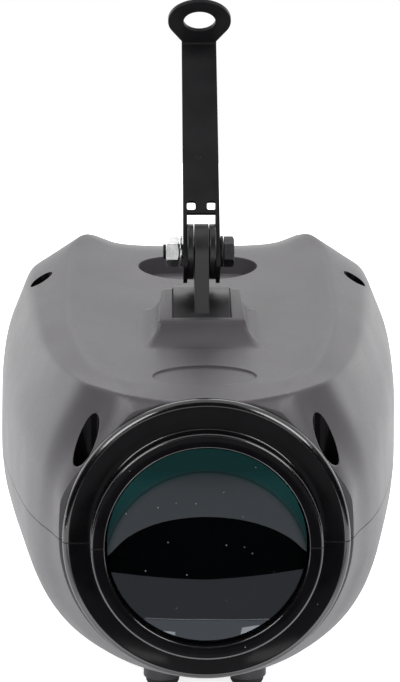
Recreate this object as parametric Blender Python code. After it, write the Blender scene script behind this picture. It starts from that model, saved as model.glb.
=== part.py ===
"""LED effect light with a clamshell housing, a large front lens and a hanging strap.

Metres, +Z up. The lens looks along -Y. The origin is on the surface that the feet stand on,
below the middle of the housing. Inside the script every depth is measured from the front of the
lens collar towards the rear, and every height from the lens axis; one empty carries that frame.
"""

import math

import bmesh
import bpy
from mathutils import Matrix, Vector

# Clearances and walls
GAP = 0.0003
WALL = 0.0026
SEAM_GAP = 0.0003
WALL_BITE = 0.0012

# Housing
BODY_LENGTH = 0.207
AXIS_HEIGHT = 0.060
BODY_START = 0.012

# Guide rails of the housing: depth, then half-width, or half-width and height
SEAM_RAIL = (
    (0.012, 0.0495), (0.020, 0.0525), (0.033, 0.0580), (0.048, 0.0630), (0.067, 0.0676),
    (0.090, 0.0725), (0.115, 0.0770), (0.141, 0.0810), (0.172, 0.0840), (0.192, 0.0840), (0.207, 0.0822),
)
FLANK_RAIL = (
    (0.012, 0.0485, 0.0170), (0.020, 0.0500, 0.0220), (0.033, 0.0555, 0.0270), (0.065, 0.0655, 0.0300),
    (0.100, 0.0736, 0.0330), (0.140, 0.0802, 0.0370), (0.185, 0.0834, 0.0420), (0.207, 0.0812, 0.0420),
)
BROW_RAIL = (
    (0.012, 0.0250, 0.0430), (0.0145, 0.0270, 0.0462), (0.0180, 0.0295, 0.0484), (0.024, 0.0362, 0.0492),
    (0.030, 0.0418, 0.0498), (0.042, 0.0474, 0.0504), (0.056, 0.0526, 0.0514), (0.072, 0.0572, 0.0528),
    (0.100, 0.0632, 0.0572), (0.140, 0.0690, 0.0632), (0.172, 0.0720, 0.0680), (0.190, 0.0722, 0.0694),
    (0.207, 0.0690, 0.0670),
)
RIDGE_RAIL = (
    (0.012, 0.0150, 0.0461), (0.020, 0.0230, 0.0492), (0.030, 0.0320, 0.0512), (0.042, 0.0385, 0.0536),
    (0.065, 0.0452, 0.0574), (0.100, 0.0510, 0.0634), (0.140, 0.0530, 0.0720), (0.172, 0.0540, 0.0794),
    (0.190, 0.0490, 0.0842), (0.207, 0.0460, 0.0822),
)
TROUGH_RAIL = (
    (0.012, 0.0080, 0.0466), (0.020, 0.0130, 0.0489), (0.030, 0.0222, 0.0494), (0.045, 0.0295, 0.0508),
    (0.065, 0.0330, 0.0538), (0.100, 0.0360, 0.0592), (0.140, 0.0380, 0.0671), (0.190, 0.0350, 0.0782),
    (0.207, 0.0330, 0.0772),
)
CENTRE_RAIL = (
    (0.012, 0.0466), (0.017, 0.0482), (0.030, 0.0497), (0.050, 0.0520), (0.075, 0.0555), (0.100, 0.0590),
    (0.120, 0.0628), (0.140, 0.0667), (0.165, 0.0720), (0.190, 0.0773), (0.207, 0.0768),
)
KEEL_RAIL = (
    (0.012, 0.0490), (0.020, 0.0522), (0.030, 0.0550), (0.045, 0.0570), (0.070, 0.0575), (0.185, 0.0575),
    (0.207, 0.0560),
)
FULLNESS_RAIL = ((0.012, 2.0), (0.030, 2.25), (0.048, 2.45), (0.090, 2.25), (0.207, 2.40))
BROW_EDGE_RAIL = ((0.012, 0.0020), (0.040, 0.0022), (0.072, 0.0036), (0.110, 0.0080), (0.207, 0.0070))
RIDGE_EDGE_RAIL = ((0.012, 0.0030), (0.040, 0.0036), (0.207, 0.0036))
FLAT_ABOVE_SEAM = 0.006
INNER_EDGE = 0.0065
SIDE_SAMPLES = (2, 3, 3, 2, 1, 1, 2, 1, 2)
MIDDLE_SAMPLES = 2
LOWER_COLUMNS = 20

# Rows along the housing, from the nose to the rear rim
FRONT_ROWS = (0.012, 0.0137, 0.0162, 0.020, 0.0255, 0.033, 0.044)
REAR_ROWS = 7
INNER_ROWS = 3
INNER_START = 0.0175

# Nose ring, collar and lens groove: radius and depth of each corner
NOSE_RADIUS = 0.0483
NOSE_REAR = 0.0106
REVEAL_DEPTH = 0.0014
NOSE_EDGE = 0.0028
BAND_DEPTH = 0.0070
COLLAR_RADIUS = 0.0384
COLLAR_BORE = 0.0337
COLLAR_EDGE = 0.0010
GROOVE_FRONT = 0.0035
GROOVE_REAR = 0.0095
GROOVE_DEPTH = 0.0024
FRONT_WALL_REAR = 0.0120

# Rear ledge that the rear panel rests on
PANEL_RECESS = 0.0080
PANEL_THICKNESS = 0.0025
LEDGE_WIDTH = 0.0030
LEDGE_THICKNESS = 0.0030

# Lens and gasket
LENS_EDGE = 0.0026
LENS_FRONT_RISE = 0.0042
LENS_REAR_RISE = 0.0085
GASKET_WALL = 0.0011

# Screw wells of the housing: half spacing, depth and floor height
FRONT_WELL = (0.0402, 0.0170)
REAR_WELL = (0.0650, 0.1550)
WELL_RADIUS = 0.0045
WELL_WALL = 0.0016
WELL_FLOOR = 0.0130
BOSS_RADIUS = 0.0043
SCREW_RADIUS = 0.0015
SCREW_HEAD_RADIUS = 0.0029
SCREW_HEAD_HEIGHT = 0.0022
HOUSING_SCREW_LENGTH = 0.0240

# Oval recesses of the saddle
FRONT_OVAL_DEPTH = 0.0385
FRONT_OVAL_SIZE = (0.0360, 0.0230)
FRONT_OVAL_SINK = 0.0008
REAR_OVAL_DEPTH = 0.1645
REAR_OVAL_SIZE = (0.0500, 0.0290)
REAR_OVAL_SINK = 0.0008

# Pedestal on the saddle and the lug block set in it
PEDESTAL_FRONT = 0.0735
PEDESTAL_REAR = 0.1120
PEDESTAL_BASE_HALF = 0.0175
PEDESTAL_TOP_HALF = 0.0148
PEDESTAL_LIP = (0.0780, 0.0638)
PEDESTAL_CREST = (0.0985, 0.0728)
PEDESTAL_BACK = (0.1040, 0.0722)
PEDESTAL_UNDERSIDE = 0.0520
BLOCK_HALF = 0.0106
BLOCK_FRONT = 0.0797
BLOCK_REAR = 0.1032
BLOCK_RISE = 0.0006
FLANGE_MARGIN = 0.0038
FLANGE_THICKNESS = 0.0026
LUG_THICKNESS = 0.0053
LUG_SCREW_SPACING = 0.0300
LUG_EYE_RADIUS = 0.0105

# Hanger hinge
PIVOT_DEPTH = 0.0930
PIVOT_HEIGHT = 0.0875
BOLT_RADIUS = 0.0030
STRAP_LEAN = math.radians(35.3)
DISC_RADIUS = 0.0090
STRAP_THICKNESS = 0.0015
STRAP_WIDTH = 0.0137
STRAP_BEND_HEIGHT = 0.0905
STRAP_BEND_RADIUS = 0.0012
STRAP_SETBACK = 0.0062
FORK_TOP = 0.0175
FORK_BAR = 0.0122
FORK_WINDOW = 0.0038
EAR_DROP = 0.0105
EAR_REAR = 0.0066
EYE_RADIUS = 0.0122
EYE_HOLE_RADIUS = 0.0062
EYE_REACH = 0.0146
WASHER_RADIUS = 0.0060
WASHER_THICKNESS = 0.0010
NUT_ACROSS_FLATS = 0.0100
NUT_HEIGHT = 0.0048
BOLT_HEAD_HEIGHT = 0.0038
BOLT_OVERHANG = 0.0012

# Optics
TUBE_RADIUS = 0.0340
TUBE_WALL = 0.0014
LED_BOARD_FRONT = 0.0620
LED_BOARD_HALF = 0.0300
LED_BOARD_THICKNESS = 0.0016
LED_COUNT = 6
LED_PITCH = 0.0078
LED_RADIUS = 0.0021
LED_HEIGHT = 0.0022
LED_BASE = 0.0006
CARRIER_THICKNESS = 0.0030
SINK_BASE = 0.0040
SINK_FIN_LENGTH = 0.0220
SINK_FIN_THICKNESS = 0.0018
SINK_FIN_COUNT = 9
SINK_HALF = 0.0320

# Power board and its parts
BOARD_THICKNESS = 0.0016
POWER_BOARD_FRONT = 0.1180
POWER_BOARD_SIZE = (0.0720, 0.0580)
POWER_BOARD_HEIGHT = -0.0430
POST_RADIUS = 0.0032
POST_INSET = 0.0050
BOARD_SCREW_LENGTH = 0.0068
TRANSFORMER_SIZE = (0.0230, 0.0200, 0.0190)
TRANSFORMER_SPOT = (-0.0180, 0.0200)
CAPACITOR_RADIUS = 0.0063
CAPACITOR_LENGTH = 0.0200
CAPACITOR_SPOT = (0.0160, 0.0160)
HEAT_TAB_SIZE = (0.0220, 0.0020, 0.0180)
HEAT_TAB_FOOT = 0.008
HEAT_TAB_SPOT = (0.0130, 0.0420)

# Control board and rear controls: half-width and height on the rear panel
CONTROL_BOARD_SIZE = (0.0700, 0.0360)
CONTROL_BOARD_SPOT = (0.0210, 0.0200)
CONTROL_POST_LENGTH = 0.0120
KNOB_SPOT = (0.0300, 0.0220)
KNOB_RADIUS = 0.0080
KNOB_LENGTH = 0.0064
POT_SHAFT_RADIUS = 0.0030
POT_SIZE = 0.0160
POT_DEPTH = 0.0075
MIC_SPOT = (0.0060, 0.0220)
MIC_RADIUS = 0.0048
MIC_HOLE_RADIUS = 0.0012
INLET_SPOT = (-0.0340, -0.0180)
INLET_BODY = (0.0274, 0.0198)
INLET_FLANGE = (0.0320, 0.0250)
INLET_CAVITY = (0.0242, 0.0166)
INLET_LENGTH = 0.0200
INLET_CAVITY_DEPTH = 0.0160
INLET_PIN = (0.0020, 0.0040, 0.0105)
INLET_PIN_SPREAD = 0.0070
FLANGE_PLATE = 0.0020
SWITCH_SPOT = (0.0340, -0.0180)
SWITCH_BODY = (0.0130, 0.0190)
SWITCH_FLANGE = (0.0160, 0.0220)
SWITCH_POCKET = (0.0100, 0.0160)
SWITCH_LENGTH = 0.0150
SWITCH_POCKET_DEPTH = 0.0090
ROCKER_TILT = math.radians(9.0)
VENT_COUNT = 6
VENT_SIZE = (0.0300, 0.0022)
VENT_PITCH = 0.0052
VENT_SPOT = (-0.0360, 0.0200)
PANEL_SCREW_HEIGHTS = (0.0280, -0.0240)
PANEL_BOSS_RADIUS = 0.0042
PANEL_BOSS_LENGTH = 0.0120

# Feet: half spacing and depth
FRONT_FOOT = (0.0150, 0.0360)
REAR_FOOT = (0.0450, 0.1650)
FOOT_RADIUS = 0.0060
FOOT_HEIGHT = 0.0030
FOOT_STEM_RADIUS = 0.0020
FOOT_STEM_LENGTH = 0.0030
PAD_MARGIN = 0.0008

# Facets round a full turn
FINE = 28
MEDIUM = 16
COARSE = 10
FULL_TURN = 2 * math.pi
FLAT_ANGLE = math.radians(0.2)

COLOURS = {
    "shell": ((0.045, 0.043, 0.046), 0.42, 0.0),
    "glass": ((0.03, 0.07, 0.075), 0.04, 0.0),
    "rubber": ((0.02, 0.02, 0.02), 0.8, 0.0),
    "black_plastic": ((0.025, 0.025, 0.027), 0.4, 0.0),
    "steel_black": ((0.04, 0.04, 0.042), 0.45, 0.6),
    "zinc": ((0.62, 0.62, 0.6), 0.3, 1.0),
    "aluminium": ((0.7, 0.7, 0.72), 0.35, 1.0),
    "board": ((0.02, 0.16, 0.06), 0.5, 0.0),
    "led": ((0.85, 0.8, 0.45), 0.2, 0.0),
    "copper": ((0.5, 0.32, 0.1), 0.4, 0.3),
    "capacitor": ((0.05, 0.06, 0.12), 0.4, 0.1),
}


def clear_scene():
    for obj in list(bpy.data.objects):
        bpy.data.objects.remove(obj, do_unlink=True)


def material(key):
    found = bpy.data.materials.get(key)
    if found:
        return found
    colour, roughness, metallic = COLOURS[key]
    made = bpy.data.materials.new(key)
    made.use_nodes = True
    shader = made.node_tree.nodes["Principled BSDF"]
    shader.inputs["Base Color"].default_value = (*colour, 1.0)
    shader.inputs["Roughness"].default_value = roughness
    shader.inputs["Metallic"].default_value = metallic
    return made


# Shapes


def outward(bm, faces):
    bmesh.ops.recalc_face_normals(bm, faces=faces)


def add_prism(bm, outline, low, high, axis="Z"):
    """A closed outline, swept along an axis. The outline is (x, y) for Z, (x, z) for Y, (y, z) for X."""
    place = {
        "X": lambda p, a: (a, p[0], p[1]),
        "Y": lambda p, a: (p[0], a, p[1]),
        "Z": lambda p, a: (p[0], p[1], a),
    }[axis]
    first = [bm.verts.new(place(p, low)) for p in outline]
    last = [bm.verts.new(place(p, high)) for p in outline]
    faces = [bm.faces.new(first), bm.faces.new(last)]
    count = len(outline)
    for i in range(count):
        j = (i + 1) % count
        faces.append(bm.faces.new((first[i], first[j], last[j], last[i])))
    outward(bm, faces)
    return first, last


def add_box(bm, low, high):
    outline = ((low[0], low[1]), (high[0], low[1]), (high[0], high[1]), (low[0], high[1]))
    return add_prism(bm, outline, low[2], high[2])


def add_lathe(bm, profile, axis="Y", centre=(0.0, 0.0, 0.0), segments=MEDIUM):
    """A closed profile of (radius, place along the axis), turned a full circle."""
    turn = {
        "X": lambda r, a, c, s: (a, r * c, r * s),
        "Y": lambda r, a, c, s: (r * c, a, r * s),
        "Z": lambda r, a, c, s: (r * c, r * s, a),
    }[axis]
    rings = []
    for radius, along in profile:
        if radius < 1e-9:
            point = Vector(turn(0.0, along, 1.0, 0.0)) + Vector(centre)
            rings.append([bm.verts.new(point)] * segments)
            continue
        ring = []
        for k in range(segments):
            angle = FULL_TURN * (k + 0.5) / segments
            point = Vector(turn(radius, along, math.cos(angle), math.sin(angle)))
            ring.append(bm.verts.new(point + Vector(centre)))
        rings.append(ring)
    faces = []
    for i, ring in enumerate(rings):
        after = rings[(i + 1) % len(rings)]
        for k in range(segments):
            m = (k + 1) % segments
            corners = []
            for vert in (ring[k], ring[m], after[m], after[k]):
                if vert not in corners:
                    corners.append(vert)
            if len(corners) > 2:
                faces.append(bm.faces.new(corners))
    outward(bm, faces)
    return rings


def add_rod(bm, radius, low, high, axis="Y", centre=(0.0, 0.0, 0.0), segments=MEDIUM):
    return add_lathe(bm, ((0.0, low), (radius, low), (radius, high), (0.0, high)), axis, centre, segments)


def add_tube(bm, outer, inner, low, high, axis="Y", centre=(0.0, 0.0, 0.0), segments=MEDIUM):
    profile = ((inner, low), (outer, low), (outer, high), (inner, high))
    return add_lathe(bm, profile, axis, centre, segments)


def arc(centre, radius, start, stop, steps):
    """Points on a circle's arc, angles in degrees."""
    points = []
    for i in range(steps + 1):
        angle = math.radians(start + (stop - start) * i / steps)
        points.append((centre[0] + radius * math.cos(angle), centre[1] + radius * math.sin(angle)))
    return points


def rounded_rectangle(size, radius, centre=(0.0, 0.0), steps=3):
    half_x, half_y = size[0] / 2 - radius, size[1] / 2 - radius
    corners = ((half_x, half_y, 0), (-half_x, half_y, 90), (-half_x, -half_y, 180), (half_x, -half_y, 270))
    points = []
    for x, y, start in corners:
        points += arc((centre[0] + x, centre[1] + y), radius, start, start + 90, steps)
    return points


def ellipse(size, centre=(0.0, 0.0), segments=MEDIUM):
    points = []
    for k in range(segments):
        angle = FULL_TURN * (k + 0.5) / segments
        points.append((centre[0] + size[0] / 2 * math.cos(angle), centre[1] + size[1] / 2 * math.sin(angle)))
    return points


# Objects


def add_object(name, bm, key, parent, smooth=35):
    mesh = bpy.data.meshes.new(name)
    bm.to_mesh(mesh)
    bm.free()
    mesh.materials.append(material(key))
    mesh.shade_smooth()
    mesh.set_sharp_from_angle(angle=math.radians(smooth))
    obj = bpy.data.objects.new(name, mesh)
    bpy.context.scene.collection.objects.link(obj)
    obj.parent = parent
    return obj


def add_tool(target, bm, operation):
    """A hidden helper solid that is joined to the target or cut from it."""
    name = f"{target.name}_{operation.lower()}_{len(target.modifiers)}"
    mesh = bpy.data.meshes.new(name)
    bmesh.ops.triangulate(bm, faces=bm.faces[:])
    bm.to_mesh(mesh)
    bm.free()
    tool = bpy.data.objects.new(name, mesh)
    bpy.context.scene.collection.objects.link(tool)
    tool.parent = target.parent
    tool.hide_render = True
    tool.display_type = "WIRE"
    step = target.modifiers.new(name, "BOOLEAN")
    step.operation = operation
    step.object = tool
    step.solver = "EXACT"
    return tool


def join(target, bm):
    return add_tool(target, bm, "UNION")


def cut(target, bm):
    return add_tool(target, bm, "DIFFERENCE")


def merge_flats(target):
    """Joins the facets that lie in one plane, after the last cut."""
    step = target.modifiers.new("merge_flats", "DECIMATE")
    step.decimate_type = "DISSOLVE"
    step.angle_limit = FLAT_ANGLE


# Form of the housing


def rail(points, depth, column=1):
    """A smooth value along a guide rail, with no overshoot between its points."""
    xs = [p[0] for p in points]
    ys = [p[column] for p in points]
    if depth <= xs[0]:
        return ys[0]
    if depth >= xs[-1]:
        return ys[-1]
    i = max(k for k in range(len(xs) - 1) if xs[k] <= depth)
    steps = [(ys[k + 1] - ys[k]) / (xs[k + 1] - xs[k]) for k in range(len(xs) - 1)]

    def slope(k):
        if k == 0:
            return steps[0]
        if k == len(xs) - 1:
            return steps[-1]
        if steps[k - 1] * steps[k] <= 0:
            return 0.0
        return 2 * steps[k - 1] * steps[k] / (steps[k - 1] + steps[k])

    span = xs[i + 1] - xs[i]
    t = (depth - xs[i]) / span
    return (
        ys[i] * (2 * t**3 - 3 * t**2 + 1)
        + span * slope(i) * (t**3 - 2 * t**2 + t)
        + ys[i + 1] * (3 * t**2 - 2 * t**3)
        + span * slope(i + 1) * (t**3 - t**2)
    )


def toward(start, goal, distance):
    step = Vector(goal) - Vector(start)
    return Vector(start) + step * min(distance / step.length, 0.45)


def smooth_curve(controls, samples):
    """A quadratic spline that is tangent to the polygon's sides and starts and ends on it."""
    points = []
    last = len(controls) - 2
    for i in range(1, last + 1):
        before = controls[0] if i == 1 else (controls[i - 1] + controls[i]) / 2
        after = controls[-1] if i == last else (controls[i] + controls[i + 1]) / 2
        for k in range(samples[i - 1]):
            t = k / samples[i - 1]
            points.append(before * (1 - t) ** 2 + controls[i] * 2 * t * (1 - t) + after * t**2)
    points.append(controls[-1].copy())
    return points


def upper_section(depth, least_edge=0.0):
    """Half-width and height from the right seam over the saddle to the left seam."""
    seam = Vector((rail(SEAM_RAIL, depth), 0.0))
    flank = Vector((rail(FLANK_RAIL, depth), rail(FLANK_RAIL, depth, 2)))
    brow = Vector((rail(BROW_RAIL, depth), rail(BROW_RAIL, depth, 2)))
    ridge = Vector((rail(RIDGE_RAIL, depth), rail(RIDGE_RAIL, depth, 2)))
    trough = Vector((rail(TROUGH_RAIL, depth), rail(TROUGH_RAIL, depth, 2)))
    centre = Vector((0.0, rail(CENTRE_RAIL, depth)))
    brow_edge = max(rail(BROW_EDGE_RAIL, depth), least_edge)
    ridge_edge = max(rail(RIDGE_EDGE_RAIL, depth), least_edge)
    right = [
        seam,
        Vector((seam.x, FLAT_ABOVE_SEAM)),
        flank,
        toward(brow, flank, brow_edge),
        brow,
        toward(brow, ridge, brow_edge),
        toward(ridge, brow, ridge_edge),
        ridge,
        toward(ridge, trough, ridge_edge),
        trough,
    ]
    left = [Vector((-p.x, p.y)) for p in reversed(right)]
    samples = SIDE_SAMPLES + (MIDDLE_SAMPLES,) + SIDE_SAMPLES[::-1]
    return smooth_curve(right + [centre] + left, samples)


def lower_section(depth):
    """The bowl below the seam, from right to left."""
    half, keel = rail(SEAM_RAIL, depth), rail(KEEL_RAIL, depth)
    power = 2 / rail(FULLNESS_RAIL, depth)
    points = []
    for k in range(LOWER_COLUMNS + 1):
        angle = math.pi * k / LOWER_COLUMNS
        c, s = math.cos(angle), math.sin(angle)
        points.append(Vector((math.copysign(abs(c) ** power, c) * half, -(abs(s) ** power) * keel)))
    points[0].y = 0.0
    points[-1].y = 0.0
    return points


def inset(points, distance):
    """The section moved inwards by a wall, with its ends kept in the seam plane."""
    moved = []
    middle = Vector((0.0, points[len(points) // 2].y * 0.3))
    for i, point in enumerate(points):
        before, after = points[max(i - 1, 0)], points[min(i + 1, len(points) - 1)]
        along = after - before
        normal = Vector((-along.y, along.x)).normalized()
        if i in (0, len(points) - 1):
            normal = Vector((1.0, 0.0)) if point.x < 0 else Vector((-1.0, 0.0))
        elif normal.dot(middle - point) < 0:
            normal.negate()
        moved.append(point + normal * distance)
    return moved


def section(depth, upper, offset=0.0):
    """One half's section at a depth, moved inwards by an offset."""
    if not upper:
        points = lower_section(depth)
    else:
        points = upper_section(depth, INNER_EDGE if offset else 0.0)
    return inset(points, offset) if offset else points


def upper_height(x, depth):
    """Height of the outside of the upper half above the seam, at a place in plan."""
    points = upper_section(max(depth, BODY_START))
    found = 0.0
    for a, b in zip(points, points[1:]):
        low, high = min(a.x, b.x), max(a.x, b.x)
        if low <= x <= high and high > low:
            found = max(found, a.y + (b.y - a.y) * (x - a.x) / (b.x - a.x))
    return found


def lower_height(x, depth):
    """Height of the outside of the lower half, below the seam and so negative, at a place in plan."""
    half, keel = rail(SEAM_RAIL, depth), rail(KEEL_RAIL, depth)
    power = rail(FULLNESS_RAIL, depth)
    return -keel * max(1 - (abs(x) / half) ** power, 0.0) ** (1 / power)


def nose_profile():
    """Radius and depth of the nose ring, collar and lens groove, from the reveal to the front wall."""
    reveal = NOSE_RADIUS - REVEAL_DEPTH
    points = [(reveal, BODY_START - 0.0002), (reveal, NOSE_REAR), (NOSE_RADIUS, NOSE_REAR)]
    centre = (NOSE_RADIUS - NOSE_EDGE, BAND_DEPTH + NOSE_EDGE)
    points += arc(centre, NOSE_EDGE, 0, -90, 2)
    points.append((COLLAR_RADIUS, BAND_DEPTH))
    points += arc((COLLAR_RADIUS - COLLAR_EDGE, COLLAR_EDGE), COLLAR_EDGE, 0, -90, 2)
    points += [(COLLAR_BORE + 0.0006, 0.0), (COLLAR_BORE, 0.0006)]
    points += [(COLLAR_BORE, GROOVE_FRONT), (COLLAR_BORE + GROOVE_DEPTH, GROOVE_FRONT)]
    points += [(COLLAR_BORE + GROOVE_DEPTH, GROOVE_REAR), (COLLAR_BORE, GROOVE_REAR)]
    points += [(COLLAR_BORE, FRONT_WALL_REAR), (NOSE_RADIUS - 2 * WALL, FRONT_WALL_REAR)]
    return points


def shell_rows(upper):
    """Every row of a shell half as depths and points, once round its wall."""
    last = FRONT_ROWS[-1]
    depths = list(FRONT_ROWS)
    depths += [last + (BODY_LENGTH - last) * k / REAR_ROWS for k in range(1, REAR_ROWS + 1)]
    rows = [(depth, section(depth, upper)) for depth in reversed(depths)]
    rows[0] = (BODY_LENGTH, section(BODY_LENGTH, upper, WALL * 0.25))
    rows.insert(1, (BODY_LENGTH - WALL * 0.25, section(BODY_LENGTH, upper)))
    start = section(FRONT_ROWS[0], upper)
    for radius, depth in nose_profile():
        rows.append((depth, [p.normalized() * radius for p in start]))
    panel_seat = BODY_LENGTH - PANEL_RECESS - PANEL_THICKNESS
    ledge_end = panel_seat - LEDGE_THICKNESS
    carrier = carrier_front()
    inner = [INNER_START, (INNER_START + carrier) / 2, carrier, carrier + CARRIER_THICKNESS]
    rest = ledge_end - LEDGE_WIDTH - inner[-1]
    inner += [inner[-1] + rest * k / INNER_ROWS for k in range(1, INNER_ROWS + 1)]
    for depth in inner:
        rows.append((depth, section(depth, upper, WALL)))
    rows.append((ledge_end, section(ledge_end, upper, WALL + LEDGE_WIDTH)))
    rows.append((panel_seat, section(panel_seat, upper, WALL + LEDGE_WIDTH)))
    rows.append((panel_seat, section(panel_seat, upper, WALL)))
    rows.append((BODY_LENGTH, section(BODY_LENGTH, upper, WALL)))
    return rows


def add_shell_half(name, upper, parent):
    """A moulded half: its rows swept round the wall, closed by flat faces on the seam."""
    shift = SEAM_GAP / 2 if upper else -SEAM_GAP / 2
    bm = bmesh.new()
    grid = []
    for depth, points in shell_rows(upper):
        grid.append([bm.verts.new((p.x, depth, p.y + shift)) for p in points])
    faces = []
    for i, row in enumerate(grid):
        after = grid[(i + 1) % len(grid)]
        for k in range(len(row) - 1):
            faces.append(bm.faces.new((row[k], row[k + 1], after[k + 1], after[k])))
    faces.append(bm.faces.new([row[0] for row in grid]))
    faces.append(bm.faces.new([row[-1] for row in grid]))
    outward(bm, faces)
    bmesh.ops.triangulate(bm, faces=bm.faces[:])
    return add_object(name, bm, "shell", parent, 30)


def wells():
    """Each screw well: its name, half-width and depth."""
    found = []
    for place, (half, depth) in (("front", FRONT_WELL), ("rear", REAR_WELL)):
        found.append((f"{place}_left", -half, depth))
        found.append((f"{place}_right", half, depth))
    return found


def feet():
    found = []
    for place, (half, depth) in (("front", FRONT_FOOT), ("rear", REAR_FOOT)):
        found.append((f"{place}_left", -half, depth))
        found.append((f"{place}_right", half, depth))
    return found


def half_width_at(points, height):
    """Half-width of a section at a height."""
    right = [p for p in points if p.x >= 0]
    for a, b in zip(right, right[1:]):
        if min(a.y, b.y) <= height <= max(a.y, b.y) and a.y != b.y:
            return a.x + (b.x - a.x) * (height - a.y) / (b.y - a.y)
    return right[0].x


def panel_screws():
    """Each rear panel screw: its name, half-width and height, its head close inside the rim."""
    found = []
    for place, height in zip(("upper", "lower"), PANEL_SCREW_HEIGHTS):
        rim = section(BODY_LENGTH, height > 0, WALL)
        far = height + math.copysign(SCREW_HEAD_RADIUS, height)
        x = min(half_width_at(rim, height), half_width_at(rim, far)) - SCREW_HEAD_RADIUS - 2 * GAP
        found.append((f"{place}_left", -x, height))
        found.append((f"{place}_right", x, height))
    return found


def move_ring(ring, place):
    """Moves each point of a lathe's ring to a height worked out from where it stands in plan."""
    for vert in {id(v): v for v in ring}.values():
        vert.co.z = place(vert.co.x, vert.co.y)


def panel_bosses(bm, upper):
    seat = BODY_LENGTH - PANEL_RECESS - PANEL_THICKNESS
    for _, x, height in panel_screws():
        if (height > 0) == upper:
            low, high = seat - PANEL_BOSS_LENGTH, seat - 2 * GAP
            add_rod(bm, PANEL_BOSS_RADIUS, low, high, "Y", (x, 0.0, height), COARSE)


def panel_boss_holes(bm, upper):
    seat = BODY_LENGTH - PANEL_RECESS - PANEL_THICKNESS
    for _, x, height in panel_screws():
        if (height > 0) == upper:
            low = seat - PANEL_BOSS_LENGTH + WALL
            add_rod(bm, SCREW_RADIUS + GAP, low, seat + WALL, "Y", (x, 0.0, height), COARSE)


def add_upper_shell(parent):
    shell = add_shell_half("upper_shell", True, parent)
    seat = SEAM_GAP / 2

    inside = bmesh.new()
    step = WELL_FLOOR - WELL_WALL
    wide = WELL_RADIUS + WELL_WALL
    column = ((0.0, seat), (BOSS_RADIUS, seat), (BOSS_RADIUS, step), (wide, step), (wide, 1.0), (0.0, 1.0))
    for _, x, depth in wells():
        rings = add_lathe(inside, column, "Z", (x, depth, 0.0), MEDIUM)
        for ring in rings[-2:]:
            move_ring(ring, lambda px, py: upper_height(px, py) - WALL_BITE)
    rim = (REAR_OVAL_SIZE[0] + 2 * WALL, REAR_OVAL_SIZE[1] + 2 * WALL)
    floor = rear_oval_floor()
    _, top = add_prism(inside, ellipse(rim, (0.0, REAR_OVAL_DEPTH)), floor - WALL, 1.0)
    for vert in top:
        vert.co.z = max(rail(CENTRE_RAIL, vert.co.y) - WALL_BITE, floor - WALL / 2)
    add_pedestal(inside)
    panel_bosses(inside, True)
    join(shell, inside)

    hollows = bmesh.new()
    hole = SCREW_RADIUS + GAP
    low, high = -WELL_FLOOR, 0.2
    bore = (
        (0.0, low), (hole, low), (hole, WELL_FLOOR),
        (WELL_RADIUS, WELL_FLOOR), (WELL_RADIUS, high), (0.0, high),
    )
    for _, x, depth in wells():
        add_lathe(hollows, bore, "Z", (x, depth, 0.0), MEDIUM)
    panel_boss_holes(hollows, True)
    add_oval_pockets(hollows)
    half = BLOCK_HALF + GAP
    add_box(hollows, (-half, BLOCK_FRONT - GAP, 0.03), (half, BLOCK_REAR + GAP, 0.12))
    for x, depth in lug_screws():
        top = PEDESTAL_UNDERSIDE + 0.010
        add_rod(hollows, hole, 0.03, top, "Z", (x, depth, 0.0), COARSE)
    cut(shell, hollows)
    merge_flats(shell)
    return shell


def lug_screws():
    depth = (BLOCK_FRONT + BLOCK_REAR) / 2
    return ((-LUG_SCREW_SPACING / 2, depth), (LUG_SCREW_SPACING / 2, depth))


def rear_oval_floor():
    front_edge = REAR_OVAL_DEPTH - REAR_OVAL_SIZE[1] / 2
    return rail(CENTRE_RAIL, front_edge) - REAR_OVAL_SINK


def add_oval_pockets(bm):
    """The shallow front oval, sunk along the slope, and the rear oval with its level floor."""
    low, high = add_prism(bm, ellipse(FRONT_OVAL_SIZE, (0.0, FRONT_OVAL_DEPTH)), 0.0, 1.0)
    for vert in low:
        vert.co.z = rail(CENTRE_RAIL, vert.co.y) - FRONT_OVAL_SINK
    for vert in high:
        vert.co.z = 0.08
    floor = rear_oval_floor()
    add_prism(bm, ellipse(REAR_OVAL_SIZE, (0.0, REAR_OVAL_DEPTH)), floor, floor + 0.03)


def add_pedestal(bm):
    """The raised seat of the lug block, wider at its foot, with a level underside inside the shell."""
    foot = PEDESTAL_UNDERSIDE
    outline = (
        (PEDESTAL_FRONT, foot),
        (PEDESTAL_REAR, foot),
        (PEDESTAL_REAR, rail(CENTRE_RAIL, PEDESTAL_REAR)),
        PEDESTAL_BACK,
        PEDESTAL_CREST,
        PEDESTAL_LIP,
        (PEDESTAL_FRONT, rail(CENTRE_RAIL, PEDESTAL_FRONT)),
    )
    verts = [v for loop in add_prism(bm, outline, -PEDESTAL_BASE_HALF, PEDESTAL_BASE_HALF, "X") for v in loop]
    slope_start = rail(CENTRE_RAIL, PEDESTAL_FRONT)
    top = PEDESTAL_CREST[1]
    for vert in verts:
        rise = max((vert.co.z - slope_start) / (top - slope_start), 0.0)
        half = PEDESTAL_BASE_HALF + (PEDESTAL_TOP_HALF - PEDESTAL_BASE_HALF) * rise
        vert.co.x = math.copysign(half, vert.co.x)
    edges = {e for v in verts for e in v.link_edges if min(w.co.z for w in e.verts) > slope_start + 0.001}
    bmesh.ops.bevel(bm, geom=list(edges), offset=0.0012, segments=2, profile=0.5, affect="EDGES")


def board_posts():
    """Where the four posts of the power board stand."""
    half_x, half_y = POWER_BOARD_SIZE[0] / 2 - POST_INSET, POWER_BOARD_SIZE[1] / 2 - POST_INSET
    centre = power_board_centre()
    return [(sx * half_x, centre + sy * half_y) for sx in (-1, 1) for sy in (-1, 1)]


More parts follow.
